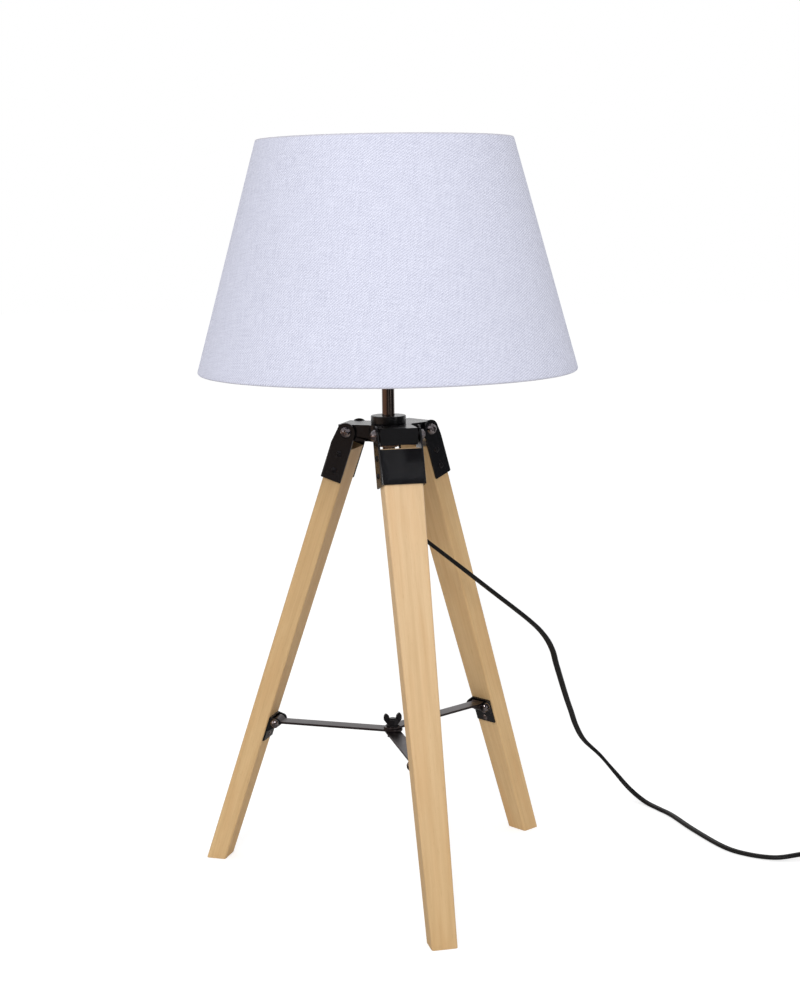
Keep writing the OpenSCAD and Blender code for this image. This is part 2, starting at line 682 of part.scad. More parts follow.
// The cover carries the rocker on two lugs beside its window
module switch_cover() {
  window_l = rocker_l + 2.4;
  window_w = rocker_w + 0.8;
  color("#26262a") translate([switch_x, switch_y, 0]) difference() {
    union() {
      difference() {
        rounded(switch_l, switch_w, 6, switch_axis, switch_h);
        rounded(switch_l - 2 * switch_wall, switch_w - 2 * switch_wall, 6 - switch_wall,
          switch_axis - 1, switch_h - switch_wall);
      }
      for (y = [-window_w / 2 - 1.6, window_w / 2]) translate([-2.5, y, pivot_z - 2])
        cube([5, 1.6, switch_h - pivot_z + 1]);
    }
    translate([-window_l / 2, -window_w / 2, switch_axis]) cube([window_l, window_w, switch_h]);
    translate([0, switch_w / 2 - 1, pivot_z]) rotate([90, 0, 0])
      cylinder(d = 2.4 + 2 * fit_gap, h = switch_w - 2);
  }
}
module switch_contacts() {
  color("#c9a24a") translate([switch_x, switch_y, switch_wall])
    for (x = [-1, 1]) translate([x * 12 - 6, -2.5, 0]) cube([12, 5, 2]);
}
module switch_rocker() {
  trunnion = rocker_w / 2 + 0.4 + 1.4;
  color("#1d1d20") translate([switch_x, switch_y, pivot_z]) rotate([0, -rocker_tilt, 0]) {
    translate([0, rocker_w / 2, 0]) rotate([90, 0, 0]) linear_extrude(rocker_w) polygon([
      [-rocker_l / 2, -2.5], [rocker_l / 2, -2.5], [rocker_l / 2, 4.6], [rocker_l / 4, 3.9],
      [0, 3.6], [-rocker_l / 4, 3.9], [-rocker_l / 2, 4.6]
    ]);
    translate([0, trunnion, 0]) rotate([90, 0, 0]) cylinder(d = 2.4, h = 2 * trunnion);
  }
}

// A flat two-pin plug that lies on its broad side
module plug_body() {
  w = plug_w / 2;
  color("#26262a") translate([coil_x + coil_out, plug_y, plug_t / 2]) difference() {
    union() {
      rotate([-90, 0, 0]) cylinder(d1 = cord_w + 1.4, d2 = plug_t - 2, h = boot_l + 1);
      translate([0, 0, -plug_t / 2]) linear_extrude(plug_t) polygon([
        [-w / 2, boot_l], [w / 2, boot_l], [w * 0.75, boot_l + 2], [w, boot_l + plug_l / 2],
        [w, boot_l + plug_l], [-w, boot_l + plug_l], [-w, boot_l + plug_l / 2], [-w * 0.75, boot_l + 2]
      ]);
    }
    for (x = [-1, 1]) translate([x * prong_step / 2, boot_l + plug_l - 8, 0])
      rotate([-90, 0, 0]) cylinder(d = prong_d + 2 * fit_gap, h = 10);
  }
}
module plug_pins() {
  color("#c9c9cc") for (x = [-1, 1])
    translate([coil_x + coil_out + x * prong_step / 2, plug_y + boot_l + plug_l - 8, plug_t / 2])
      rotate([-90, 0, 0]) cylinder(d = prong_d, h = prong_l + 8);
}

hub();
hub_collar();
pole();
pole_nut();
cord_grip();
cord_inside();
lampholder_cap();
lampholder_skirt();
lampholder_insulator();
lampholder_screw_shell();
shade_frame();
shade_ring_nut();
shade_top_ring();
shade_cover();
hinge_bolt(FRONT, -1);  // hinge_bolt_front
hinge_bolt(RIGHT, -1);  // hinge_bolt_right
hinge_bolt(LEFT, 1);  // hinge_bolt_left
hinge_nut(FRONT, -1);  // hinge_nut_front
hinge_nut(RIGHT, -1);  // hinge_nut_right
hinge_nut(LEFT, 1);  // hinge_nut_left
leg(FRONT);  // leg_front
leg(RIGHT);  // leg_right
leg(LEFT);  // leg_left
leg_bracket(FRONT);  // leg_bracket_front
leg_bracket(RIGHT);  // leg_bracket_right
leg_bracket(LEFT);  // leg_bracket_left
bracket_screws(FRONT);  // bracket_screws_front
bracket_screws(RIGHT);  // bracket_screws_right
bracket_screws(LEFT);  // bracket_screws_left
stay_plate(FRONT);  // stay_plate_front
stay_plate(RIGHT);  // stay_plate_right
stay_plate(LEFT);  // stay_plate_left
stay_screws(FRONT);  // stay_screws_front
stay_screws(RIGHT);  // stay_screws_right
stay_screws(LEFT);  // stay_screws_left
stay_pin(FRONT);  // stay_pin_front
stay_pin(RIGHT);  // stay_pin_right
stay_pin(LEFT);  // stay_pin_left
stay_bar(FRONT, -1);  // stay_bar_front
stay_bar(RIGHT, 1);  // stay_bar_right
stay_bar(LEFT, 0);  // stay_bar_left
centre_bolt();
centre_stud();
stay_washer();
wing_nut();
cord_run();
cord_lead();
cord_coil();
cord_tail();
coil_tie();
switch_base();
switch_cover();
switch_contacts();
switch_rocker();
plug_body();
plug_pins();
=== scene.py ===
import json
import math
import bmesh
import bpy
from mathutils import Matrix, Vector

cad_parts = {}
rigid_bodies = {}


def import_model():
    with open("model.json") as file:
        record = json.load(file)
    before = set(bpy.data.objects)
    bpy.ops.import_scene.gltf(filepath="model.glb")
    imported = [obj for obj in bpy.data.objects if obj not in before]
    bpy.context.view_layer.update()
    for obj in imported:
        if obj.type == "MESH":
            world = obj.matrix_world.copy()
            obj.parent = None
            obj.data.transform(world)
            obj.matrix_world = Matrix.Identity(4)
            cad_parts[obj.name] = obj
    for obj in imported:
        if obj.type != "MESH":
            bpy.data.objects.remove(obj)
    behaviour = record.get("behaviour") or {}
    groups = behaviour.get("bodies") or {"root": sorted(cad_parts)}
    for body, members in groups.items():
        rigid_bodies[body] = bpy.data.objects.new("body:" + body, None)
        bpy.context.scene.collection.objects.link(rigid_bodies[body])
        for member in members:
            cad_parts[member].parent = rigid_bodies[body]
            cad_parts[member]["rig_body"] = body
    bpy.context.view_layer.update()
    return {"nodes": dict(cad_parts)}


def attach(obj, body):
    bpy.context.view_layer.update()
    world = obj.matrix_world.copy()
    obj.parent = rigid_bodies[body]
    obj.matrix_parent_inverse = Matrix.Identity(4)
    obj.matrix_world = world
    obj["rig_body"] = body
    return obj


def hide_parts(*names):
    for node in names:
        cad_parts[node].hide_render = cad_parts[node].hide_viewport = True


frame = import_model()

nodes = frame["nodes"]
legNames = ("front", "right", "left")  # each a third of a turn after the last
print("frame loaded:", len(nodes), "CAD nodes")

view = {
    "place": (-0.31037, -1.36765, 0.5371),
    "turn": -12.786, "tilt": 80.853, "roll": -0.818,  # degrees
    "lens": 63.99, "shift": 0.01042,
}
camera = bpy.data.objects.new("camera", bpy.data.cameras.new("camera"))
bpy.context.collection.objects.link(camera)
camera.data.sensor_width = 36
camera.data.lens = view["lens"]
camera.data.shift_x = view["shift"]
camera.data.clip_end = 60
camera.matrix_world = (
    Matrix.Translation(view["place"])
    @ Matrix.Rotation(math.radians(view["turn"]), 4, "Z")
    @ Matrix.Rotation(math.radians(view["tilt"]), 4, "X")
    @ Matrix.Rotation(math.radians(view["roll"]), 4, "Z")
)
bpy.context.scene.camera = camera
bpy.context.scene.view_settings.view_transform = "Standard"
print("camera placed")


def linear(red, green, blue):
    parts = [part / 255 for part in (red, green, blue)]
    return tuple(p / 12.92 if p <= 0.04045 else ((p + 0.055) / 1.055) ** 2.4 for p in parts) + (1.0,)


def addNode(tree, kind, values=None, **settings):
    node = tree.nodes.new(kind)
    for label, setting in settings.items():
        setattr(node, label, setting)
    for label, value in (values or {}).items():
        if isinstance(value, bpy.types.NodeSocket):
            tree.links.new(value, node.inputs[label])
        else:
            node.inputs[label].default_value = value
    return node


def calc(tree, operation, *values):
    return addNode(tree, "ShaderNodeMath", dict(enumerate(values)), operation=operation).outputs[0]


def calcVector(tree, operation, *values):
    return addNode(tree, "ShaderNodeVectorMath", dict(enumerate(values)), operation=operation).outputs[0]


def dotProduct(tree, first, second):
    return addNode(tree, "ShaderNodeVectorMath", {0: first, 1: second}, operation="DOT_PRODUCT").outputs["Value"]


def mixColors(tree, amount, first, second, blend="MIX"):
    return addNode(tree, "ShaderNodeMix", {0: amount, 6: first, 7: second}, data_type="RGBA", blend_type=blend).outputs[2]


def newGroup(name, inputs, outputs):
    group = bpy.data.node_groups.new(name, "ShaderNodeTree")
    for label, kind, value in inputs:
        socket = group.interface.new_socket(label, in_out="INPUT", socket_type="NodeSocket" + kind)
        if value is not None:
            socket.default_value = value
    for label, kind in outputs:
        group.interface.new_socket(label, in_out="OUTPUT", socket_type="NodeSocket" + kind)
    return group, group.nodes.new("NodeGroupInput").outputs, group.nodes.new("NodeGroupOutput").inputs


# Slow changes of tone, fine grain and faint handling marks, for painted, moulded and plated surfaces
finishGroup, given, result = newGroup(
    "surfaceFinish",
    [("Vector", "Vector", None), ("Color", "Color", None), ("Roughness", "Float", 0.5), ("Tone", "Float", 0.1),
     ("Marks", "Float", 0.1), ("Grain Scale", "Float", 2500.0), ("Wave Scale", "Float", 60.0)],
    [("Color", "Color"), ("Roughness", "Float"), ("Height", "Float")],
)
slow = addNode(finishGroup, "ShaderNodeTexNoise", {"Vector": given["Vector"], "Scale": given["Wave Scale"], "Detail": 3.0}).outputs[0]
fine = addNode(finishGroup, "ShaderNodeTexNoise", {"Vector": given["Vector"], "Scale": given["Grain Scale"], "Detail": 2.0}).outputs[0]
smear = addNode(finishGroup, "ShaderNodeTexNoise", {"Vector": given["Vector"], "Scale": 22.0, "Detail": 6.0, "Distortion": 1.2}).outputs[0]
shift = calc(finishGroup, "MULTIPLY", calc(finishGroup, "SUBTRACT", slow, 0.5), given["Tone"])
speck = calc(finishGroup, "MULTIPLY", calc(finishGroup, "SUBTRACT", fine, 0.5), calc(finishGroup, "MULTIPLY", given["Tone"], 0.8))
value = calc(finishGroup, "ADD", calc(finishGroup, "MULTIPLY", calc(finishGroup, "ADD", shift, speck), 2.0), 1.0)
toned = addNode(finishGroup, "ShaderNodeHueSaturation", {"Value": value, "Color": given["Color"]}).outputs[0]
finishGroup.links.new(toned, result["Color"])
rub = calc(finishGroup, "MULTIPLY", calc(finishGroup, "SUBTRACT", smear, 0.5), given["Marks"])
rough = calc(finishGroup, "ADD", given["Roughness"], calc(finishGroup, "ADD", rub, speck))
finishGroup.links.new(calc(finishGroup, "MINIMUM", calc(finishGroup, "MAXIMUM", rough, 0.04), 1.0), result["Roughness"])
finishGroup.links.new(fine, result["Height"])

# Pine with growth rings round a heart beside the leg, and fibres along its length, which is Z
woodGroup, given, result = newGroup(
    "pineGrain",
    [("Vector", "Vector", None), ("Light", "Color", None), ("Dark", "Color", None), ("Blush", "Color", None), ("Rings", "Float", 60.0)],
    [("Color", "Color"), ("Roughness", "Float"), ("Height", "Float")],
)
sway = addNode(woodGroup, "ShaderNodeTexNoise", {
    "Vector": calcVector(woodGroup, "MULTIPLY", given["Vector"], (14.0, 14.0, 5.0)), "Scale": 1.0, "Detail": 1.0}).outputs[1]
swayed = calcVector(woodGroup, "ADD", given["Vector"],
    calcVector(woodGroup, "MULTIPLY", calcVector(woodGroup, "SUBTRACT", sway, (0.5, 0.5, 0.5)), (0.012, 0.012, 0.0)))
rings = addNode(woodGroup, "ShaderNodeTexWave", {
    "Vector": swayed, "Scale": given["Rings"], "Distortion": 0.6, "Detail": 1.0, "Detail Scale": 0.4},
    wave_type="RINGS", rings_direction="Z", wave_profile="SAW").outputs[1]
late = addNode(woodGroup, "ShaderNodeMapRange", {
    "Value": rings, "From Min": 0.35, "From Max": 1.0, "To Min": 0.0, "To Max": 1.0}, interpolation_type="SMOOTHSTEP").outputs[0]
fibre = addNode(woodGroup, "ShaderNodeTexNoise", {
    "Vector": calcVector(woodGroup, "MULTIPLY", given["Vector"], (1500.0, 1500.0, 28.0)), "Scale": 1.0, "Detail": 4.0}).outputs[0]
streak = addNode(woodGroup, "ShaderNodeTexNoise", {
    "Vector": calcVector(woodGroup, "MULTIPLY", given["Vector"], (230.0, 230.0, 11.0)), "Scale": 1.0, "Detail": 4.0}).outputs[0]
cloud = addNode(woodGroup, "ShaderNodeTexNoise", {
    "Vector": calcVector(woodGroup, "MULTIPLY", given["Vector"], (70.0, 70.0, 10.0)), "Scale": 1.0, "Detail": 3.0}).outputs[0]
fleck = addNode(woodGroup, "ShaderNodeTexNoise", {
    "Vector": calcVector(woodGroup, "MULTIPLY", given["Vector"], (2600.0, 2600.0, 130.0)), "Scale": 1.0, "Detail": 1.0}).outputs[0]
pores = addNode(woodGroup, "ShaderNodeMapRange", {"Value": fleck, "From Min": 0.66, "From Max": 0.78}).outputs[0]
amount = calc(woodGroup, "ADD", calc(woodGroup, "MULTIPLY", late, 0.07),
    calc(woodGroup, "ADD", calc(woodGroup, "MULTIPLY", fibre, 0.30), calc(woodGroup, "MULTIPLY", streak, 0.62)))
amount = calc(woodGroup, "SUBTRACT", amount, 0.30)
amount = calc(woodGroup, "ADD", calc(woodGroup, "MAXIMUM", amount, 0.0), calc(woodGroup, "MULTIPLY", pores, 0.35))
pine = mixColors(woodGroup, amount, given["Light"], given["Dark"])
blushed = mixColors(woodGroup, addNode(woodGroup, "ShaderNodeMapRange", {"Value": cloud, "From Min": 0.45, "From Max": 0.75, "To Max": 0.6}).outputs[0],
    pine, given["Blush"])
woodGroup.links.new(blushed, result["Color"])
woodGroup.links.new(calc(woodGroup, "ADD", calc(woodGroup, "MULTIPLY", fibre, 0.18), calc(woodGroup, "ADD", calc(woodGroup, "MULTIPLY", pores, 0.2), 0.36)), result["Roughness"])
woodGroup.links.new(calc(woodGroup, "SUBTRACT", calc(woodGroup, "ADD", calc(woodGroup, "MULTIPLY", fibre, 0.6), calc(woodGroup, "MULTIPLY", late, 0.3)), pores), result["Height"])

# Two-up, two-down twill on the cloth's own UV, which is in metres
weaveGroup, given, result = newGroup(
    "twillWeave",
    [("Vector", "Vector", None), ("Color", "Color", None), ("Shadow", "Color", None), ("Threads", "Float", 2200.0)],
    [("Color", "Color"), ("Height", "Float")],
)
turned = addNode(weaveGroup, "ShaderNodeVectorMath", {0: given["Vector"], "Scale": given["Threads"]}, operation="SCALE").outputs[0]
apart = addNode(weaveGroup, "ShaderNodeSeparateXYZ", {0: turned}).outputs
warp, weft = apart[0], apart[1]
step = calc(weaveGroup, "SUBTRACT", calc(weaveGroup, "FLOOR", warp), calc(weaveGroup, "FLOOR", weft))
onTop = calc(weaveGroup, "LESS_THAN", calc(weaveGroup, "FLOORED_MODULO", step, 4.0), 1.5)
warpRound = calc(weaveGroup, "SINE", calc(weaveGroup, "MULTIPLY", calc(weaveGroup, "FRACT", warp), math.pi))
weftRound = calc(weaveGroup, "SINE", calc(weaveGroup, "MULTIPLY", calc(weaveGroup, "FRACT", weft), math.pi))
high = addNode(weaveGroup, "ShaderNodeMix", {0: onTop, 2: calc(weaveGroup, "MULTIPLY", weftRound, 0.5), 3: calc(weaveGroup, "ADD", calc(weaveGroup, "MULTIPLY", warpRound, 0.5), 0.5)}).outputs[0]
slub = addNode(weaveGroup, "ShaderNodeTexNoise", {
    "Vector": calcVector(weaveGroup, "MULTIPLY", given["Vector"], (900.0, 60.0, 1.0)), "Scale": 1.0, "Detail": 2.0}).outputs[0]
slubAcross = addNode(weaveGroup, "ShaderNodeTexNoise", {
    "Vector": calcVector(weaveGroup, "MULTIPLY", given["Vector"], (60.0, 900.0, 1.0)), "Scale": 1.0, "Detail": 2.0}).outputs[0]
uneven = calc(weaveGroup, "MULTIPLY", calc(weaveGroup, "SUBTRACT", calc(weaveGroup, "ADD", slub, slubAcross), 1.0), 0.5)
light = calc(weaveGroup, "ADD", calc(weaveGroup, "ADD", calc(weaveGroup, "MULTIPLY", high, 0.7), 0.32), uneven)
weaveGroup.links.new(mixColors(weaveGroup, calc(weaveGroup, "MINIMUM", calc(weaveGroup, "MAXIMUM", light, 0.0), 1.0), given["Shadow"], given["Color"]), result["Color"])
weaveGroup.links.new(high, result["Height"])
print("node groups made")


def newMaterial(name):
    material = bpy.data.materials.new(name)
    material.use_nodes = True
    tree = material.node_tree
    return material, tree, tree.nodes["Principled BSDF"]


def useGroup(tree, group, values):
    node = addNode(tree, "ShaderNodeGroup", node_tree=group)
    for label, value in values.items():
        if isinstance(value, bpy.types.NodeSocket):
            tree.links.new(value, node.inputs[label])
        else:
            node.inputs[label].default_value = value
    return node.outputs


def addBump(tree, shader, height, distance, strength=1.0):
    bump = addNode(tree, "ShaderNodeBump", {"Height": height, "Distance": distance, "Strength": strength})
    tree.links.new(bump.outputs[0], shader.inputs["Normal"])


def surface(name, color, roughness, metallic=0.0, specular=0.5, tone=0.1, marks=0.1, grain=2500.0, wave=60.0, bump=0.00002, coat=0.0):
    material, tree, shader = newMaterial(name)
    place = addNode(tree, "ShaderNodeTexCoord").outputs["Object"]
    out = useGroup(tree, finishGroup, {
        "Vector": place, "Color": linear(*color), "Roughness": roughness, "Tone": tone, "Marks": marks,
        "Grain Scale": grain, "Wave Scale": wave})
    tree.links.new(out["Color"], shader.inputs["Base Color"])
    tree.links.new(out["Roughness"], shader.inputs["Roughness"])
    shader.inputs["Metallic"].default_value = metallic
    shader.inputs["Specular IOR Level"].default_value = specular
    shader.inputs["Coat Weight"].default_value = coat
    shader.inputs["Coat Roughness"].default_value = 0.12
    addBump(tree, shader, out["Height"], bump)
    return material


blackPaint = surface("blackPaint", (18, 18, 21), 0.24, specular=0.42, tone=0.18, marks=0.14, grain=1900, wave=45, bump=0.00002)
brightSteel = surface("brightSteel", (146, 139, 141), 0.15, metallic=1.0, tone=0.12, marks=0.14, grain=1800, wave=300, bump=0.00001)
barSteel = surface("barSteel", (83, 77, 79), 0.36, metallic=1.0, tone=0.22, marks=0.22, grain=1400, wave=120, bump=0.00002)
blackBolt = surface("blackBolt", (36, 34, 37), 0.32, metallic=0.6, specular=0.4, tone=0.25, marks=0.2, grain=2000, wave=200, bump=0.00002)
darkChrome = surface("darkChrome", (100, 89, 84), 0.12, metallic=1.0, tone=0.1, marks=0.08, grain=900, wave=30, bump=0.000004)
blackPlastic = surface("blackPlastic", (21, 21, 23), 0.42, specular=0.26, tone=0.2, marks=0.14, grain=3200, wave=50, bump=0.00003)
glossPlastic = surface("glossPlastic", (17, 17, 19), 0.22, specular=0.3, tone=0.12, marks=0.12, grain=2500, wave=40, bump=0.000006)
ceramic = surface("ceramic", (232, 228, 218), 0.28, tone=0.04, marks=0.12, grain=1300, wave=70, bump=0.00001)
brass = surface("brass", (201, 166, 92), 0.26, metallic=1.0, tone=0.16, marks=0.2, grain=1500, wave=160, bump=0.00001)
whiteWire = surface("whiteWire", (226, 226, 226), 0.36, tone=0.05, marks=0.14, grain=1700, wave=50, bump=0.00002)
liner = surface("shadeLiner", (236, 236, 238), 0.46, specular=0.4, tone=0.03, marks=0.1, grain=900, wave=20, bump=0.00001)

# The flex has fine draw lines along its length, so it reads its own attributes
flex, tree, shader = newMaterial("flex")
along = addNode(tree, "ShaderNodeAttribute", attribute_name="along").outputs["Fac"]
around = addNode(tree, "ShaderNodeAttribute", attribute_name="around").outputs["Fac"]
lines = addNode(tree, "ShaderNodeTexNoise", {
    "Vector": addNode(tree, "ShaderNodeCombineXYZ", {0: calc(tree, "MULTIPLY", along, 30.0), 1: calc(tree, "MULTIPLY", around, 26.0)}).outputs[0],
    "Scale": 1.0, "Detail": 3.0}).outputs[0]
out = useGroup(tree, finishGroup, {
    "Vector": addNode(tree, "ShaderNodeTexCoord").outputs["Object"], "Color": linear(17, 17, 18), "Roughness": 0.44,
    "Tone": 0.3, "Marks": 0.2, "Grain Scale": 2600.0, "Wave Scale": 40.0})
tree.links.new(out["Color"], shader.inputs["Base Color"])
tree.links.new(out["Roughness"], shader.inputs["Roughness"])
shader.inputs["Specular IOR Level"].default_value = 0.26
addBump(tree, shader, calc(tree, "ADD", lines, calc(tree, "MULTIPLY", out["Height"], 0.3)), 0.00004)

# Hook and loop strap: a dense nap of short loops
strap, tree, shader = newMaterial("strapNap")
place = addNode(tree, "ShaderNodeTexCoord").outputs["Object"]
nap = addNode(tree, "ShaderNodeTexVoronoi", {"Vector": place, "Scale": 2200.0}).outputs[0]
strapOut = useGroup(tree, finishGroup, {
    "Vector": place, "Color": linear(34, 34, 36), "Roughness": 0.85, "Tone": 0.5, "Marks": 0.1, "Grain Scale": 1800.0, "Wave Scale": 200.0})
tree.links.new(strapOut["Color"], shader.inputs["Base Color"])
tree.links.new(strapOut["Roughness"], shader.inputs["Roughness"])
shader.inputs["Specular IOR Level"].default_value = 0.2
addBump(tree, shader, nap, 0.00025)

# The shade's cloth, and a darker copy of it on the rolled edges of both rims, which is painted shade along the rim
fabricLook = {
    "threads": 1650.0, "bias": 50.0, "depth": 0.00016,
    "shadeFabric": ((230, 232, 248), (168, 170, 192)),
    "rimClothPaintedShadow": ((216, 215, 226), (176, 176, 190)),
}


def clothMaterial(name):
    material, tree, shader = newMaterial(name)
    color, shadow = fabricLook[name]
    cut = addNode(tree, "ShaderNodeUVMap", uv_map="cut").outputs[0]
    flat = addNode(tree, "ShaderNodeMapping", {"Vector": cut, "Rotation": (0, 0, math.radians(fabricLook["bias"]))}, vector_type="POINT").outputs[0]
    woven = useGroup(tree, weaveGroup, {
        "Vector": flat, "Color": linear(*color), "Shadow": linear(*shadow), "Threads": fabricLook["threads"]})
    dye = addNode(tree, "ShaderNodeTexNoise", {"Vector": flat, "Scale": 9.0, "Detail": 2.0}).outputs[0]
    dyed = addNode(tree, "ShaderNodeHueSaturation", {
        "Value": calc(tree, "ADD", calc(tree, "MULTIPLY", dye, 0.04), 0.98), "Color": woven["Color"]}).outputs[0]
    tree.links.new(dyed, shader.inputs["Base Color"])
    shader.inputs["Roughness"].default_value = 0.82
    shader.inputs["Specular IOR Level"].default_value = 0.25
    shader.inputs["Sheen Weight"].default_value = 0.1
    shader.inputs["Sheen Roughness"].default_value = 0.5
    addBump(tree, shader, woven["Height"], fabricLook["depth"], 0.8)
    return material


fabric = clothMaterial("shadeFabric")
rimClothPaintedShadow = clothMaterial("rimClothPaintedShadow")
print("materials made")


def finishPiece(bm, name, materials, body, replaced=(), sharpAngle=38, even=True):
    mesh = bpy.data.meshes.new(name)
    bm.to_mesh(mesh)
    bm.free()
    for material in materials:
        mesh.materials.append(material)
    mesh.shade_smooth()
    mesh.set_sharp_from_angle(angle=math.radians(sharpAngle))
    piece = bpy.data.objects.new(name, mesh)
    bpy.context.collection.objects.link(piece)
    if even:
        piece.modifiers.new("evenNormals", "WEIGHTED_NORMAL").keep_sharp = True
    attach(piece, body)
    if replaced:
        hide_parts(*replaced)
    return piece


def sharpEdges(bm, degrees=30, shortest=0.0):
    return [e for e in bm.edges if len(e.link_faces) == 2 and e.calc_face_angle(0.0) > math.radians(degrees) and e.calc_length() > shortest]


def bevelEdges(bm, edges, width, segments):
    if edges:
        bmesh.ops.bevel(bm, geom=edges, offset=width, offset_type="OFFSET", segments=segments, affect="EDGES", profile=0.5, material=-1, clamp_overlap=True)


# A copy of a CAD node with its flat faces joined and its edges eased; rounds lists wider edges first
def softened(node, name, material, width, segments=2, shortest=0.0004, rounds=(), degrees=30):
    bm = bmesh.new()
    bm.from_mesh(nodes[node].data)
    bmesh.ops.remove_doubles(bm, verts=bm.verts, dist=0.000003)
    bmesh.ops.dissolve_limit(bm, angle_limit=math.radians(0.6), verts=bm.verts, edges=bm.edges)
    for chosen, roundWidth, roundSegments in rounds:
        bevelEdges(bm, [e for e in sharpEdges(bm, degrees) if chosen(e)], roundWidth, roundSegments)
    bevelEdges(bm, sharpEdges(bm, degrees, shortest), width, segments)
    return finishPiece(bm, name, [material], nodes[node]["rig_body"], [node])


# Turns a closed outline of (radius, height) points round the Z axis
def turnedSolid(bm, outline, steps=64, place=None, layer=None, values=None):
    before = set(bm.verts)
    verts = [bm.verts.new((r, 0.0, z)) for r, z in outline]
    if layer is not None:
        for vert, value in zip(verts, values):
            vert[layer] = value
    edges = [bm.edges.new((verts[i - 1], verts[i])) for i in range(len(verts))]
    bmesh.ops.spin(bm, geom=verts + edges, cent=(0, 0, 0), axis=(0, 0, 1), angle=2 * math.pi, steps=steps, use_merge=True)
    made = [v for v in bm.verts if v not in before]
    faces = list({f for v in made for f in v.link_faces})
    bmesh.ops.recalc_face_normals(bm, faces=faces)
    if place is not None:
        bmesh.ops.transform(bm, matrix=place, verts=made)
    return made


def dress(material, *names):
    for name in names:
        for slot in nodes[name].material_slots:
            slot.material = material


# The flex: the route of the CAD model, in metres
cordLook = {"width": 0.0052, "thickness": 0.0032, "length": 1.8}
run = [
    (0, 0, 332), (0, 0, 321), (2, -1, 309), (7, -3, 298), (15, -6, 289), (28, -11, 278), (55, -9, 256), (83, 0, 233),
    (122, 19, 201), (139, 30, 184), (150, 42, 168), (158, 55, 151), (176, 84, 115), (186, 99, 96), (196, 114, 77),
    (208, 126, 59), (225, 131, 42), (239, 129, 25), (250, 120, 11), (259, 105, 3), (265, 86, 1.8), (270, 66, 1.8),
    (274, 26, 1.8), (282, -20, 1.8), (294, -42, 1.8), (312, -57, 2.4), (330, -62, 4.8), (346, -62, 6.5),
]
lead = [(400, -62, 6.5), (410, -62, 5.6), (421, -59, 4), (432, -52, 2.8), (440, -42, 2.4), (444, -30, 2.4), (445, -18, 2.4), (445, -5.2, 2.4)]
tail = [(445, 5.2, 6.3), (445, 13, 6.4), (445, 21, 6.8), (445, 30, 6.8)]
coil = {"centre": (408, 0), "radius": 22.25, "pitch": 5.9, "half": 2.5, "low": 2.4, "layer": 3.9, "steps": 36}


def smoothLine(points, steps):
    points = [Vector(p) for p in points]
    points = [2 * points[0] - points[1]] + points + [2 * points[-1] - points[-2]]
    line = []
    for i in range(1, len(points) - 2):
        a, b, c, d = points[i - 1:i + 3]
        for j in range(steps):
            t = j / steps
            line.append(b + (c - a) * t / 2 + (2 * a - 5 * b + 4 * c - d) * t * t / 2 + (3 * b - a - 3 * c + d) * t ** 3 / 2)
    return line + [points[-2]]


def coilPlace(turn):
    r = coil["radius"] + coil["pitch"] * abs(turn - coil["half"])
    climb = min(1.0, max(0.0, (turn - coil["half"] + 0.25) * 2))
    angle = 2 * math.pi * turn
    return Vector((coil["centre"][0] + r * math.cos(angle), coil["centre"][1] + r * math.sin(angle), coil["low"] + coil["layer"] * climb))


turns = int(2 * coil["half"])
route = [Vector((0, 0, 338)), Vector((0, 0, 335))] + smoothLine(run, 6)
route += [Vector((x, -62, 6.5)) for x in (360, 373, 386)] + smoothLine(lead, 4)
route += [coilPlace(i / coil["steps"]) for i in range(turns * coil["steps"] + 1)] + smoothLine(tail, 4)
route = [point / 1000 for point in route]


# Frames along a route, with the section's wide side kept level
def routeFrames(route):
    frames, last = [], None
    for i, point in enumerate(route):
        ahead = route[min(i + 1, len(route) - 1)] - route[max(i - 1, 0)]
        ahead.normalize()
        level = Vector((-ahead.y, ahead.x, 0)) if math.hypot(ahead.x, ahead.y) > 0.08 else Vector((1, 2, 0))
        if last is not None and level.dot(last) < 0:
            level.negate()
        side = (level - ahead * level.dot(ahead)).normalized()
        last = side
        turned = Matrix((side, ahead.cross(side), ahead)).transposed().to_4x4()
        turned.translation = point
        frames.append(turned)
    return frames


# Sweeps a closed section along a route; the attributes follow the length and the section
def sweep(bm, section, route):
    alongLayer = bm.verts.layers.float.new("along")
    aroundLayer = bm.verts.layers.float.new("around")
    ring = [bm.verts.new((x, y, 0)) for x, y in section]
    for i, vert in enumerate(ring):
        vert[aroundLayer] = abs(2 * i / len(ring) - 1)
    edges = [bm.edges.new((ring[i - 1], ring[i])) for i in range(len(ring))]
    frames = routeFrames(route)
    bmesh.ops.transform(bm, matrix=frames[0], verts=ring)
    ends, length = [list(edges)], 0.0
    for i in range(1, len(frames)):
        made = bmesh.ops.extrude_edge_only(bm, edges=edges)["geom"]
        ring = [part for part in made if isinstance(part, bmesh.types.BMVert)]
        edges = [part for part in made if isinstance(part, bmesh.types.BMEdge) and part.is_boundary]
        bmesh.ops.transform(bm, matrix=frames[i] @ frames[i - 1].inverted(), verts=ring)
        length += (route[i] - route[i - 1]).length
        for vert in ring:
            vert[alongLayer] = length
    ends.append(edges)
    for loop in ends:
        bmesh.ops.contextual_create(bm, geom=loop)
    bmesh.ops.recalc_face_normals(bm, faces=bm.faces)
    return length


def twinSection(width, thickness, steps=9):
    r = thickness / 2
    offset = width / 2 - r
    open = math.acos(-offset / r)
    points = []
    for side in (0, math.pi):
        for i in range(steps):
            angle = -open + 2 * open * i / steps
            points.append((math.cos(side) * offset + r * math.cos(side + angle), r * math.sin(side + angle)))
    return points


bm = bmesh.new()
length = sweep(bm, twinSection(cordLook["width"], cordLook["thickness"]), route)
cord = finishPiece(bm, "lampCord", [flex], "head", ["cord_run", "cord_lead", "cord_coil", "cord_tail"], sharpAngle=60, even=False)
print("cord swept, length", round(length, 3))

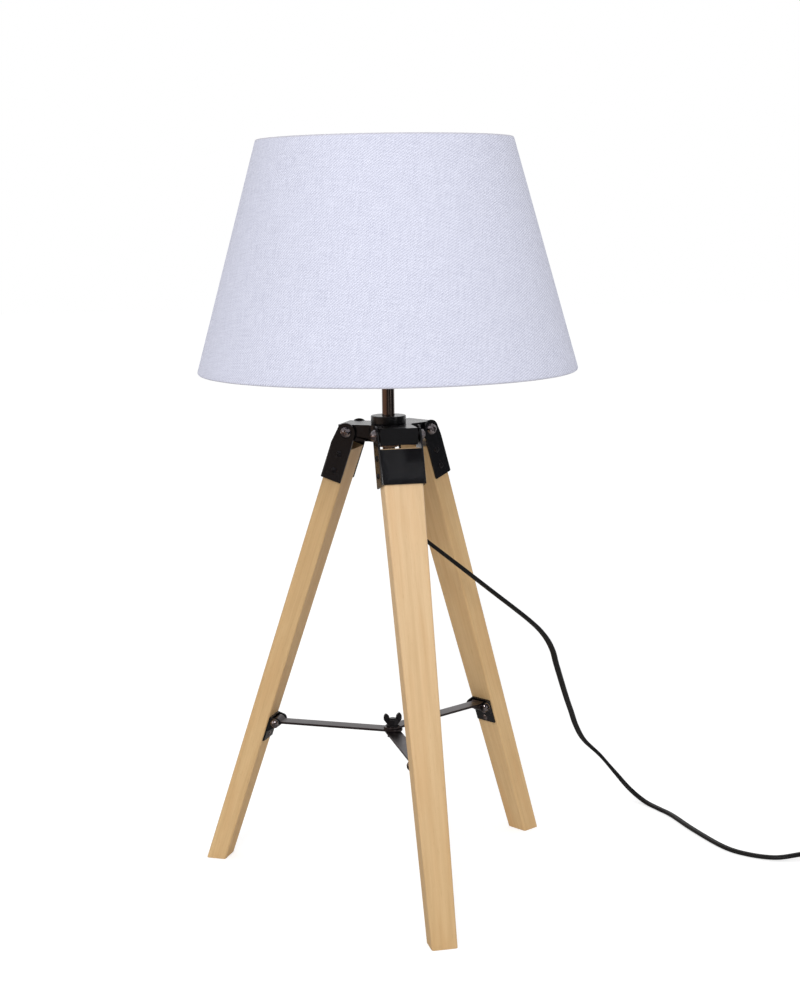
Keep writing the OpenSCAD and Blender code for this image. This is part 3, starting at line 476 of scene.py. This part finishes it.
# The ribbed cord grip under the pole
gripLook = {"tip": 0.0036, "top": 0.005, "low": 0.332, "high": 0.352, "bore": 0.00266, "ribs": 6}
outline = [(gripLook["bore"], gripLook["low"]), (gripLook["tip"] - 0.0004, gripLook["low"]), (gripLook["tip"], gripLook["low"] + 0.0004)]
for i in range(gripLook["ribs"]):
    for part, inset in ((0.15, 0.0), (0.3, 0.0005), (0.7, 0.0005), (0.85, 0.0)):
        share = (i + part) / gripLook["ribs"]
        outline.append((gripLook["tip"] + (gripLook["top"] - gripLook["tip"]) * share - inset, gripLook["low"] + 0.0006 + 0.0176 * share))
outline += [(gripLook["top"], 0.3512), (gripLook["top"] - 0.0003, 0.352), (0.00355, 0.352), (0.00355, 0.36), (gripLook["bore"], 0.36)]
bm = bmesh.new()
turnedSolid(bm, outline, 40)
finishPiece(bm, "cordGripRibbed", [blackPlastic], "head", ["cord_grip"], even=False)

# The inline switch
switchLook = {"centre": (0.373, -0.062), "half": (0.027, 0.011), "top": 0.013}


def switchRim(edge, level):
    middle = (edge.verts[0].co + edge.verts[1].co) / 2
    across = max(abs(middle.x - switchLook["centre"][0]) / switchLook["half"][0], abs(middle.y - switchLook["centre"][1]) / switchLook["half"][1])
    return all(abs(v.co.z - level) < 0.0001 for v in edge.verts) and across > 0.72


softened("switch_cover", "switchCoverMoulded", blackPlastic, 0.00025,
         rounds=[(lambda e: switchRim(e, switchLook["top"]), 0.0018, 5)])
softened("switch_base", "switchBaseMoulded", blackPlastic, 0.00025,
         rounds=[(lambda e: switchRim(e, 0.0), 0.001, 3)])
softened("switch_rocker", "switchRockerMoulded", glossPlastic, 0.0004, 3)
dress(brass, "switch_contacts")

# The plug: a moulded body with grip ridges, a ribbed boot and sleeved pins
plugLook = {"x": 0.445, "z": 0.0068, "outline": [(0.0062, 0.042), (0.0098, 0.0445), (0.0127, 0.058), (0.013, 0.076)], "thick": 0.0136, "ridges": 5}
bm = bmesh.new()
corners = [(x, y) for x, y in plugLook["outline"]] + [(-x, y) for x, y in reversed(plugLook["outline"])]
face = bm.faces.new([bm.verts.new((plugLook["x"] + x, y, 0)) for x, y in corners])
raised = bmesh.ops.extrude_face_region(bm, geom=[face])["geom"]
bmesh.ops.translate(bm, vec=(0, 0, plugLook["thick"]), verts=[g for g in raised if isinstance(g, bmesh.types.BMVert)])
bmesh.ops.recalc_face_normals(bm, faces=bm.faces)
bevelEdges(bm, [e for e in sharpEdges(bm, 40) if min(v.co.y for v in e.verts) < 0.0759], 0.0026, 5)
bevelEdges(bm, sharpEdges(bm, 40), 0.0006, 2)
for i in range(plugLook["ridges"]):
    made = bmesh.ops.create_cube(bm, size=1.0)["verts"]
    width = 0.0135 + 0.0008 * i
    bmesh.ops.scale(bm, vec=(width, 0.0011, 0.0012), verts=made)
    bmesh.ops.translate(bm, vec=(plugLook["x"], 0.0505 + 0.0032 * i, plugLook["thick"] - 0.0002), verts=made)
    bevelEdges(bm, [e for e in {e for v in made for e in v.link_edges} if min(v.co.z for v in e.verts) > plugLook["thick"]], 0.00035, 2)
boot = [(0.0, 0.0), (0.0036, 0.0), (0.0039, 0.0006)]
for i in range(5):
    for part, inset in ((0.1, 0.0), (0.25, 0.0008), (0.6, 0.0008), (0.75, 0.0)):
        share = (i + part) / 5
        boot.append((0.0039 + 0.0019 * share - inset, 0.001 + 0.017 * share))
boot += [(0.0058, 0.0225), (0.0, 0.0225)]
lay = Matrix.Translation((plugLook["x"], 0.022, plugLook["z"])) @ Matrix.Rotation(math.radians(-90), 4, "X")
turnedSolid(bm, boot, 32, lay)
finishPiece(bm, "plugMoulded", [blackPlastic], "head", ["plug_body"], even=False)

bm = bmesh.new()
for side in (-1, 1):
    pin = [(0.0, 0.0), (0.002, 0.0), (0.002, 0.0175), (0.00188, 0.0178), (0.00188, 0.0255), (0.0014, 0.0266), (0.0007, 0.027), (0.0, 0.027)]
    turnedSolid(bm, pin, 28, Matrix.Translation((plugLook["x"] + side * 0.0093, 0.068, plugLook["z"])) @ Matrix.Rotation(math.radians(-90), 4, "X"))
for face in bm.faces:
    face.material_index = 1 if face.calc_center_median().y < 0.0856 else 0
finishPiece(bm, "plugPinsSleeved", [brightSteel, blackPlastic], "head", ["plug_pins"], even=False)
softened("coil_tie", "coilStrap", strap, 0.0005, 3)

dress(flex, "cord_inside")
print("cord grip, switch, plug and strap made")

# The legs: tapered pine, planed flat with eased edges and cut level at the foot
legLook = {"hinge": (0.0, -0.03, 0.367), "lean": 18.8787, "topWidth": 0.0326, "footWidth": 0.020, "thick": 0.016, "start": 0.012, "ease": 0.0017}
legLength = legLook["hinge"][2] / math.cos(math.radians(legLook["lean"]))


def legPlace(turn):
    return (Matrix.Rotation(math.radians(120 * turn), 4, "Z") @ Matrix.Translation(legLook["hinge"])
            @ Matrix.Rotation(math.radians(-legLook["lean"]), 4, "X"))


def legWidth(s):
    return legLook["topWidth"] + (legLook["footWidth"] - legLook["topWidth"]) * s / legLength


# Each leg gets its own copy of the pine. The right and left legs are darker, which is painted shade. The fourth colour
# is painted light and shade towards the floor
pineLook = {
    "rings": 150.0,
    "front": ((235, 204, 163), (189, 148, 96), (223, 181, 133), (229, 222, 204)),
    "right": ((212, 179, 131), (168, 127, 78), (199, 155, 104), (264, 264, 264)),
    "left": ((205, 172, 125), (165, 125, 77), (193, 151, 102), (276, 278, 280)),
}
for turn, name in enumerate(legNames):
    material, tree, shader = newMaterial("pine" + name.capitalize())
    place = legPlace(turn)
    light, dark, blush, foot = pineLook[name]
    heart = place @ Vector(((0.021, 0.062, -0.2), (-0.034, 0.05, -0.1), (0.03, 0.071, 0.0))[turn])
    mapping = addNode(tree, "ShaderNodeMapping", {
        "Vector": addNode(tree, "ShaderNodeTexCoord").outputs["Object"], "Location": heart, "Rotation": place.to_euler()}, vector_type="TEXTURE")
    grain = useGroup(tree, woodGroup, {
        "Vector": mapping.outputs[0], "Light": linear(*light), "Dark": linear(*dark), "Blush": linear(*blush), "Rings": pineLook["rings"]})
    # Painted light and shade by height: near the floor the wood is tinted towards the fourth colour, darker on the
    # front leg and lighter on the side legs
    height = addNode(tree, "ShaderNodeSeparateXYZ", {0: addNode(tree, "ShaderNodeTexCoord").outputs["Object"]}).outputs[2]
    paintedHeightLight = addNode(tree, "ShaderNodeMapRange", {"Value": height, "From Min": 0.0, "From Max": 0.36, "To Min": 1.0, "To Max": 0.0}).outputs[0]
    tree.links.new(mixColors(tree, paintedHeightLight, grain["Color"], linear(*foot), "MULTIPLY"), shader.inputs["Base Color"])
    tree.links.new(grain["Roughness"], shader.inputs["Roughness"])
    shader.inputs["Specular IOR Level"].default_value = 0.35
    addBump(tree, shader, grain["Height"], 0.00006)

    bm = bmesh.new()
    bmesh.ops.create_cube(bm, size=1.0)
    long = legLength + legLook["thick"]
    for vert in bm.verts:
        s = legLook["start"] if vert.co.z > 0 else long
        vert.co = (math.copysign(legWidth(s) / 2, vert.co.x), math.copysign(legLook["thick"] / 2, vert.co.y), -s)
    bevelEdges(bm, [e for e in bm.edges if abs(e.verts[0].co.z - e.verts[1].co.z) > 0.1], legLook["ease"], 4)
    bevelEdges(bm, [e for e in sharpEdges(bm, 60) if max(v.co.z for v in e.verts) > -0.02], 0.0005, 2)
    bmesh.ops.transform(bm, matrix=place, verts=bm.verts)
    cut = bmesh.ops.bisect_plane(bm, geom=bm.verts[:] + bm.edges[:] + bm.faces[:], plane_co=(0, 0, 0), plane_no=(0, 0, -1), clear_outer=True)
    rim = [g for g in cut["geom_cut"] if isinstance(g, bmesh.types.BMEdge)]
    bmesh.ops.contextual_create(bm, geom=rim)
    bmesh.ops.recalc_face_normals(bm, faces=bm.faces)
    bevelEdges(bm, [e for e in sharpEdges(bm, 40) if max(v.co.z for v in e.verts) < 0.0001], 0.0004, 2)
    finishPiece(bm, "legWood" + name.capitalize(), [material], "leg_" + name, ["leg_" + name])
print("legs made")


# Edges of a bracket where the sheet is bent round the leg
def bentEdge(edge, turn):
    back = legPlace(turn).inverted()
    a, b = (back @ v.co for v in edge.verts)
    return a.y < -0.0094 and b.y < -0.0094 and abs(a.z - b.z) > 0.02 and min(abs(a.x), abs(b.x)) > 0.017


for turn, name in enumerate(legNames):
    label = name.capitalize()
    softened("leg_bracket_" + name, "bracketFolded" + label, blackPaint, 0.00022, 2,
             rounds=[(lambda e, turn=turn: bentEdge(e, turn), 0.0022, 6)])
    softened("stay_plate_" + name, "stayPlateFolded" + label, blackPaint, 0.0002, 2)
    softened("stay_bar_" + name, "stayBarEased" + label, barSteel, 0.00035, 2)
    softened("hinge_nut_" + name, "hingeNutEased" + label, brightSteel, 0.0003, 2)
    dress(brightSteel, "hinge_bolt_" + name, "stay_pin_" + name)
    dress(blackBolt, "bracket_screws_" + name)
    dress(brightSteel, "stay_screws_" + name)
softened("hub", "hubCast", blackPaint, 0.0007, 3)
softened("hub_collar", "hubCollarTurned", blackPaint, 0.0006, 3)
softened("pole_nut", "poleNutEased", brightSteel, 0.0004, 2)
softened("centre_bolt", "centreBoltEased", blackBolt, 0.0003, 2)
softened("stay_washer", "stayWasherEased", blackBolt, 0.00015, 2)
wingLook = {"from": 0.0026, "boss": 0.0026, "half": 0.00115, "rise": 0.42, "slim": 0.22, "middle": 0.0052}
wing = softened("wing_nut", "wingNutCast", blackBolt, 0.00055, 3)
seat = min(v.co.z for v in wing.data.vertices)
for vert in wing.data.vertices:
    lift = vert.co.z - seat - wingLook["from"]
    if lift > 0 and abs(vert.co.x) > wingLook["boss"] and abs(vert.co.y) < wingLook["half"]:
        share = min(1.0, lift / 0.002)
        vert.co.z += wingLook["rise"] * lift
        vert.co.x -= math.copysign(abs(vert.co.x) - wingLook["middle"], vert.co.x) * wingLook["slim"] * share
dress(blackBolt, "centre_stud")
dress(darkChrome, "pole")
print("hub, brackets and stays made")

# The lampholder, with the thread for the shade's nut on its skirt
holderLook = {"neck": 0.0085, "cap": 0.0215, "skirt": 0.0187, "pitch": 0.0025, "threads": 8}
bm = bmesh.new()
turnedSolid(bm, [
    (0.0036, 0.4215), (0.0082, 0.4215), (0.0085, 0.4218), (0.0085, 0.4285), (0.0098, 0.4297), (0.0165, 0.4305), (0.0198, 0.4322),
    (0.0212, 0.4345), (0.0215, 0.436), (0.0215, 0.4385), (0.0211, 0.4389), (0.0211, 0.4395), (0.0215, 0.4399), (0.0215, 0.445),
    (0.0212, 0.4455), (0.0147, 0.4455), (0.0147, 0.4335), (0.0036, 0.4335)], 72)
finishPiece(bm, "lampholderCapMoulded", [blackPlastic], "head", ["lampholder_cap"], even=False)
outline = [(0.0117, 0.4455), (holderLook["skirt"], 0.4455)]
for i in range(holderLook["threads"]):
    z = 0.4575 + holderLook["pitch"] * i
    outline += [(0.0187, z), (0.0183, z + 0.0007), (0.0183, z + 0.0013), (0.0187, z + 0.002)]
outline += [(0.0187, 0.4868), (0.018, 0.4875), (0.0149, 0.4875), (0.01445, 0.487), (0.01445, 0.4505), (0.0117, 0.4505)]
bm = bmesh.new()
turnedSolid(bm, outline, 72)
finishPiece(bm, "lampholderSkirtThreaded", [blackPlastic], "head", ["lampholder_skirt"], even=False)
outline = [(0.0143, 0.4635), (0.0143, 0.4855)]
for i in range(24, -1, -1):
    outline.append((0.0136 - 0.0003 * math.cos(2 * math.pi * i / 4), 0.4637 + 0.0216 * i / 24))
bm = bmesh.new()
turnedSolid(bm, outline, 64)
finishPiece(bm, "screwShellRolled", [brass], "head", ["lampholder_screw_shell"], even=False)
dress(ceramic, "lampholder_insulator")
bm = bmesh.new()
made = bmesh.ops.create_cube(bm, size=1.0)["verts"]
bmesh.ops.scale(bm, vec=(0.0044, 0.014, 0.0005), verts=made)
bmesh.ops.subdivide_edges(bm, edges=[e for e in bm.edges if abs(e.verts[0].co.y - e.verts[1].co.y) > 0.01], cuts=6)
for vert in bm.verts:
    vert.co.z += 0.0032 * math.cos(vert.co.y / 0.014 * math.pi)
bmesh.ops.translate(bm, vec=(0, 0, 0.4573), verts=bm.verts)
finishPiece(bm, "centreContact", [brass], "head")

# The knurled nut that holds the shade's ring
nutLook = {"outer": 0.024, "inner": 0.01876, "low": 0.4471, "high": 0.4551, "ribs": 36}
bm = bmesh.new()
made = turnedSolid(bm, [
    (nutLook["inner"], nutLook["low"]), (0.0234, nutLook["low"]), (nutLook["outer"], 0.4477), (nutLook["outer"], 0.4545),
    (0.0234, nutLook["high"]), (nutLook["inner"], nutLook["high"])], nutLook["ribs"] * 2)
for vert in bm.verts:
    turn = math.atan2(vert.co.y, vert.co.x) / (2 * math.pi) * nutLook["ribs"] * 2
    if math.hypot(vert.co.x, vert.co.y) > 0.0238 and round(turn) % 2:
        vert.co.x *= 0.965
        vert.co.y *= 0.965
finishPiece(bm, "shadeNutKnurled", [blackPlastic], "head", ["shade_ring_nut"], sharpAngle=25, even=False)
dress(whiteWire, "shade_frame", "shade_top_ring")
print("lampholder made")

# The shade: one cut sheet bonded to a liner, rolled round the wire rings and lapped at the back
shadeLook = {
    "lowRadius": 0.15, "highRadius": 0.1, "low": 0.415, "high": 0.5945, "wall": 0.0008, "wire": 0.00125, "roll": 0.00165,
    "tongue": 0.007, "lap": 77.0, "lapHalf": 1.7, "lapRise": 0.0004, "steps": 180,
}
slope = (shadeLook["lowRadius"] - shadeLook["highRadius"]) / (shadeLook["high"] - shadeLook["low"])
lean = math.atan(slope)


def shadeRadius(z):
    return shadeLook["lowRadius"] - (z - shadeLook["low"]) * slope


def wireCentre(z):
    return Vector((shadeRadius(z) - shadeLook["wall"] - (shadeLook["wire"] + 0.0001) * math.hypot(1, slope), z))


outward = Vector((math.cos(lean), math.sin(lean)))  # across the wall, in (radius, height)
upward = Vector((-math.sin(lean), math.cos(lean)))  # along the wall
lowWire = wireCentre(shadeLook["low"] + shadeLook["wire"] + 0.0001)
highWire = wireCentre(shadeLook["high"] - shadeLook["wire"] - 0.0001)
wallOut = (Vector((shadeRadius(0.5), 0.5)) - lowWire).dot(outward)  # from the wire's centre to the outer face
wallIn = wallOut - shadeLook["wall"]
rows = 24
outline = []
start = lowWire + outward * wallOut
span = highWire + outward * wallOut - start
for i in range(rows + 1):
    outline.append(start + span * (i / rows))
topTurn = [highWire + (outward * math.cos(a) * (wallOut if math.cos(a) > 0 else shadeLook["roll"]) + upward * math.sin(a) * shadeLook["roll"])
           for a in (math.radians(d) for d in (25, 50, 75, 100, 125, 150, 175))]
outline += topTurn
innerTop = highWire + outward * (wallIn - 0.0003)
outline += [highWire - outward * 0.0013 - upward * 0.0012, innerTop - upward * 0.0034, innerTop - upward * shadeLook["tongue"],
            innerTop + outward * 0.0003 - upward * (shadeLook["tongue"] + 0.0003)]
innerLow = lowWire + outward * (wallIn - 0.0003)
linerStart = len(outline) - 1
back = innerLow + outward * 0.0003 + upward * (shadeLook["tongue"] + 0.0003)
for i in range(1, rows):
    outline.append(outline[linerStart].lerp(back, i / rows))
outline.append(back)
linerEnd = len(outline) - 1
outline += [innerLow + upward * shadeLook["tongue"], innerLow + upward * 0.0034, lowWire - outward * 0.0013 + upward * 0.0012]
outline += [lowWire + (outward * math.cos(a) * (wallOut if math.cos(a) > 0 else shadeLook["roll"]) - upward * math.sin(a) * shadeLook["roll"])
            for a in (math.radians(d) for d in (175, 150, 125, 100, 75, 50, 25))]
# Slant distance from the cone's tip, kept running round the rolled rims
slant = [0.0] * len(outline)
slant[0] = shadeRadius(outline[0].y) / math.sin(lean)
for i in range(1, linerStart + 1):
    slant[i] = slant[i - 1] - (outline[i] - outline[i - 1]).length
ahead = slant[0]
for i in range(len(outline) - 1, linerEnd - 1, -1):
    ahead += (outline[i] - outline[(i + 1) % len(outline)]).length
    slant[i] = ahead
for i in range(linerStart + 1, linerEnd):
    slant[i] = shadeRadius(outline[i].y) / math.sin(lean)

bm = bmesh.new()
slantLayer = bm.verts.layers.float.new("slant")
turnedSolid(bm, [(p.x, p.y) for p in outline], shadeLook["steps"], layer=slantLayer, values=slant)
lapAngle = math.radians(shadeLook["lap"])
for offset in (-shadeLook["lapHalf"] - 0.08, -shadeLook["lapHalf"], shadeLook["lapHalf"], shadeLook["lapHalf"] + 0.08):
    angle = lapAngle + math.radians(offset)
    near = [f for f in bm.faces if f.calc_center_median().to_2d().dot(Vector((math.cos(lapAngle), math.sin(lapAngle)))) > 0.05]
    geom = near + list({e for f in near for e in f.edges}) + list({v for f in near for v in f.verts})
    bmesh.ops.bisect_plane(bm, geom=geom, dist=0.0000001, plane_co=(0, 0, 0), plane_no=(-math.sin(angle), math.cos(angle), 0))
for vert in bm.verts:
    flatCo = vert.co.to_2d()
    turn = math.degrees(math.atan2(flatCo.y, flatCo.x)) - shadeLook["lap"]
    outside = (Vector((flatCo.length, vert.co.z)) - Vector((shadeRadius(vert.co.z), vert.co.z))).dot(outward) > -0.0002
    if abs(turn) < shadeLook["lapHalf"] + 0.02 and outside and shadeLook["low"] + 0.0005 < vert.co.z < shadeLook["high"] - 0.0005:
        vert.co += Vector((flatCo.x, flatCo.y, 0)).normalized() * shadeLook["lapRise"]
uvLayer = bm.loops.layers.uv.new("cut")
for face in bm.faces:
    middle = face.calc_center_median()
    inside = (Vector((middle.to_2d().length, middle.z)) - Vector((shadeRadius(middle.z), middle.z))).dot(outward)
    hem = shadeLook["tongue"] + 0.0006
    wallShare = middle.z - shadeLook["low"] > hem and shadeLook["high"] - middle.z > hem
    atRim = min(middle.z - shadeLook["low"], shadeLook["high"] - middle.z) < 0.0006
    # Faces at the very edge of the rims take the darker cloth, painted shade along the rolled edge
    face.material_index = 1 if inside < -0.0005 and wallShare else 2 if atRim else 0
    middleTurn = math.atan2(middle.y, middle.x) - lapAngle
    for loop in face.loops:
        turn = math.atan2(loop.vert.co.y, loop.vert.co.x) - lapAngle
        turn += 2 * math.pi * round((middleTurn - turn) / (2 * math.pi))
        turn -= 2 * math.pi * math.floor(middleTurn / (2 * math.pi))
        angle = turn * math.sin(lean)
        reach = loop.vert[slantLayer]
        loop[uvLayer].uv = (reach * math.cos(angle), reach * math.sin(angle))
shade = finishPiece(bm, "shadeCone", [fabric, liner, rimClothPaintedShadow], "head", ["shade_cover"], sharpAngle=50, even=False)
print("shade made")

# Floor and light: a pale table that keeps a faint shadow, and a plain level all round. What metal and glass mirror of
# the floor and the world is a painted reflection: a dim room with a brown left side and one light stripe, white only
# far behind the lamp
ahead = (Vector((0, 0, 0.35)) - Vector(view["place"])).normalized()
rightward = ahead.cross(Vector((0, 0, 1))).normalized()
floorLook = {
    "radius": 9.0, "own": 0.5, "glow": 0.66, "side": 2.5, "dimTo": (1.0, 2.3),
    "mirrored": [(0.06, (0.8, 0.5, 0.34)), (0.18, (0.1, 0.085, 0.08)), (0.46, (0.16, 0.14, 0.13)), (0.58, (0.6, 0.58, 0.56)),
                 (0.7, (0.3, 0.3, 0.31)), (0.84, (0.07, 0.07, 0.075))],
}
bm = bmesh.new()
bmesh.ops.create_circle(bm, cap_ends=True, segments=96, radius=floorLook["radius"])
mesh = bpy.data.meshes.new("floor")
bm.to_mesh(mesh)
bm.free()
floor = bpy.data.objects.new("floor", mesh)
bpy.context.collection.objects.link(floor)
material, tree, shader = newMaterial("floor")
shader.inputs["Base Color"].default_value = (0.86, 0.86, 0.86, 1)
shader.inputs["Roughness"].default_value = 0.9
shader.inputs["Specular IOR Level"].default_value = 0.1
glow = addNode(tree, "ShaderNodeEmission", {"Color": (1, 1, 1, 1), "Strength": floorLook["glow"]})
dull = addNode(tree, "ShaderNodeBsdfDiffuse", {"Color": (floorLook["own"],) * 3 + (1,)})
seen = addNode(tree, "ShaderNodeAddShader", {0: glow.outputs[0], 1: dull.outputs[0]})
path = addNode(tree, "ShaderNodeLightPath").outputs
mirrored = calc(tree, "MAXIMUM", path["Is Glossy Ray"], path["Is Transmission Ray"])
spot = addNode(tree, "ShaderNodeTexCoord").outputs["Object"]
far = addNode(tree, "ShaderNodeMapRange", {
    "Value": dotProduct(tree, spot, tuple(ahead)), "From Min": floorLook["dimTo"][0], "From Max": floorLook["dimTo"][1]},
    interpolation_type="SMOOTHSTEP").outputs[0]
across = addNode(tree, "ShaderNodeMapRange", {
    "Value": dotProduct(tree, spot, tuple(rightward)), "From Min": -floorLook["side"], "From Max": floorLook["side"]}).outputs[0]
# Painted reflection: glossy rays see the floor as bands of brown, dark and light across, fading to white far behind the
# lamp
paintedReflectionRamp = addNode(tree, "ShaderNodeValToRGB", {0: across})
for i, (place, color) in enumerate(floorLook["mirrored"]):
    stops = paintedReflectionRamp.color_ramp.elements
    stop = stops[i] if i < 2 else stops.new(place)
    stop.position, stop.color = place, color + (1,)
paintedReflectionFloor = addNode(tree, "ShaderNodeMixShader", {
    0: far, 1: addNode(tree, "ShaderNodeBsdfDiffuse", {"Color": paintedReflectionRamp.outputs[0]}).outputs[0], 2: seen.outputs[0]})
both = addNode(tree, "ShaderNodeMixShader", {0: path["Is Camera Ray"], 2: seen.outputs[0], 1: addNode(tree, "ShaderNodeMixShader", {0: mirrored, 1: shader.outputs[0], 2: paintedReflectionFloor.outputs[0]}).outputs[0]})
tree.links.new(both.outputs[0], tree.nodes["Material Output"].inputs["Surface"])
mesh.materials.append(material)

lightLook = {"level": 0.72, "key": 29.0, "keySize": (0.8, 0.8), "keyPlace": (-0.9, -2.3, 1.9), "fill": 2.2, "fillSize": (0.3, 1.5), "fillPlace": (1.45, -1.9, 0.8),
             "strip": 5.0, "stripSize": (1.3, 1.3), "stripPlace": (-1.9, -0.3, 0.9), "paintedReflectionLeft": (0.34, 0.25, 0.2), "paintedReflectionRight": (0.07, 0.065, 0.07)}
world = bpy.data.worlds.new("studio")
bpy.context.scene.world = world
world.use_nodes = True
tree = world.node_tree
backdrop = tree.nodes["Background"]
backdrop.inputs["Color"].default_value = (1, 1, 1, 1)
# What metal and glass mirror of the world is a painted reflection: brownish towards the left, dark towards the right,
# white behind the lamp
path = addNode(tree, "ShaderNodeLightPath").outputs
mirrored = calc(tree, "MAXIMUM", path["Is Glossy Ray"], path["Is Transmission Ray"])
incoming = addNode(tree, "ShaderNodeNewGeometry").outputs["Incoming"]
behind = dotProduct(tree, incoming, tuple(-ahead))
aside = dotProduct(tree, incoming, tuple(-rightward))
paintedRoomReflection = mixColors(tree, addNode(tree, "ShaderNodeMapRange", {"Value": aside, "From Min": -0.45, "From Max": 0.1}).outputs[0],
    lightLook["paintedReflectionLeft"] + (1,), lightLook["paintedReflectionRight"] + (1,))
around = mixColors(tree, addNode(tree, "ShaderNodeMapRange", {"Value": behind, "From Min": 0.4, "From Max": 0.95}, interpolation_type="SMOOTHSTEP").outputs[0],
    paintedRoomReflection, (1, 1, 1, 1))
plain = (lightLook["level"],) * 3 + (1,)
tinted = mixColors(tree, path["Is Camera Ray"], mixColors(tree, mirrored, plain, around), (1, 1, 1, 1))
tree.links.new(tinted, backdrop.inputs["Color"])


def addSoftbox(name, place, size, power, target=(0, 0, 0.3), mirrorOnly=False):
    lamp = bpy.data.lights.new(name, "AREA")
    lamp.shape = "RECTANGLE"
    lamp.size, lamp.size_y = size
    lamp.energy = power
    box = bpy.data.objects.new(name, lamp)
    bpy.context.collection.objects.link(box)
    box.location = place
    box.visible_diffuse = not mirrorOnly
    box.rotation_euler = (Vector(target) - Vector(place)).to_track_quat("-Z", "Y").to_euler()


addSoftbox("keyLight", lightLook["keyPlace"], lightLook["keySize"], lightLook["key"])
addSoftbox("fillLight", lightLook["fillPlace"], lightLook["fillSize"], lightLook["fill"])
addSoftbox("stripLight", lightLook["stripPlace"], lightLook["stripSize"], lightLook["strip"], mirrorOnly=True)
print("floor and lights made")
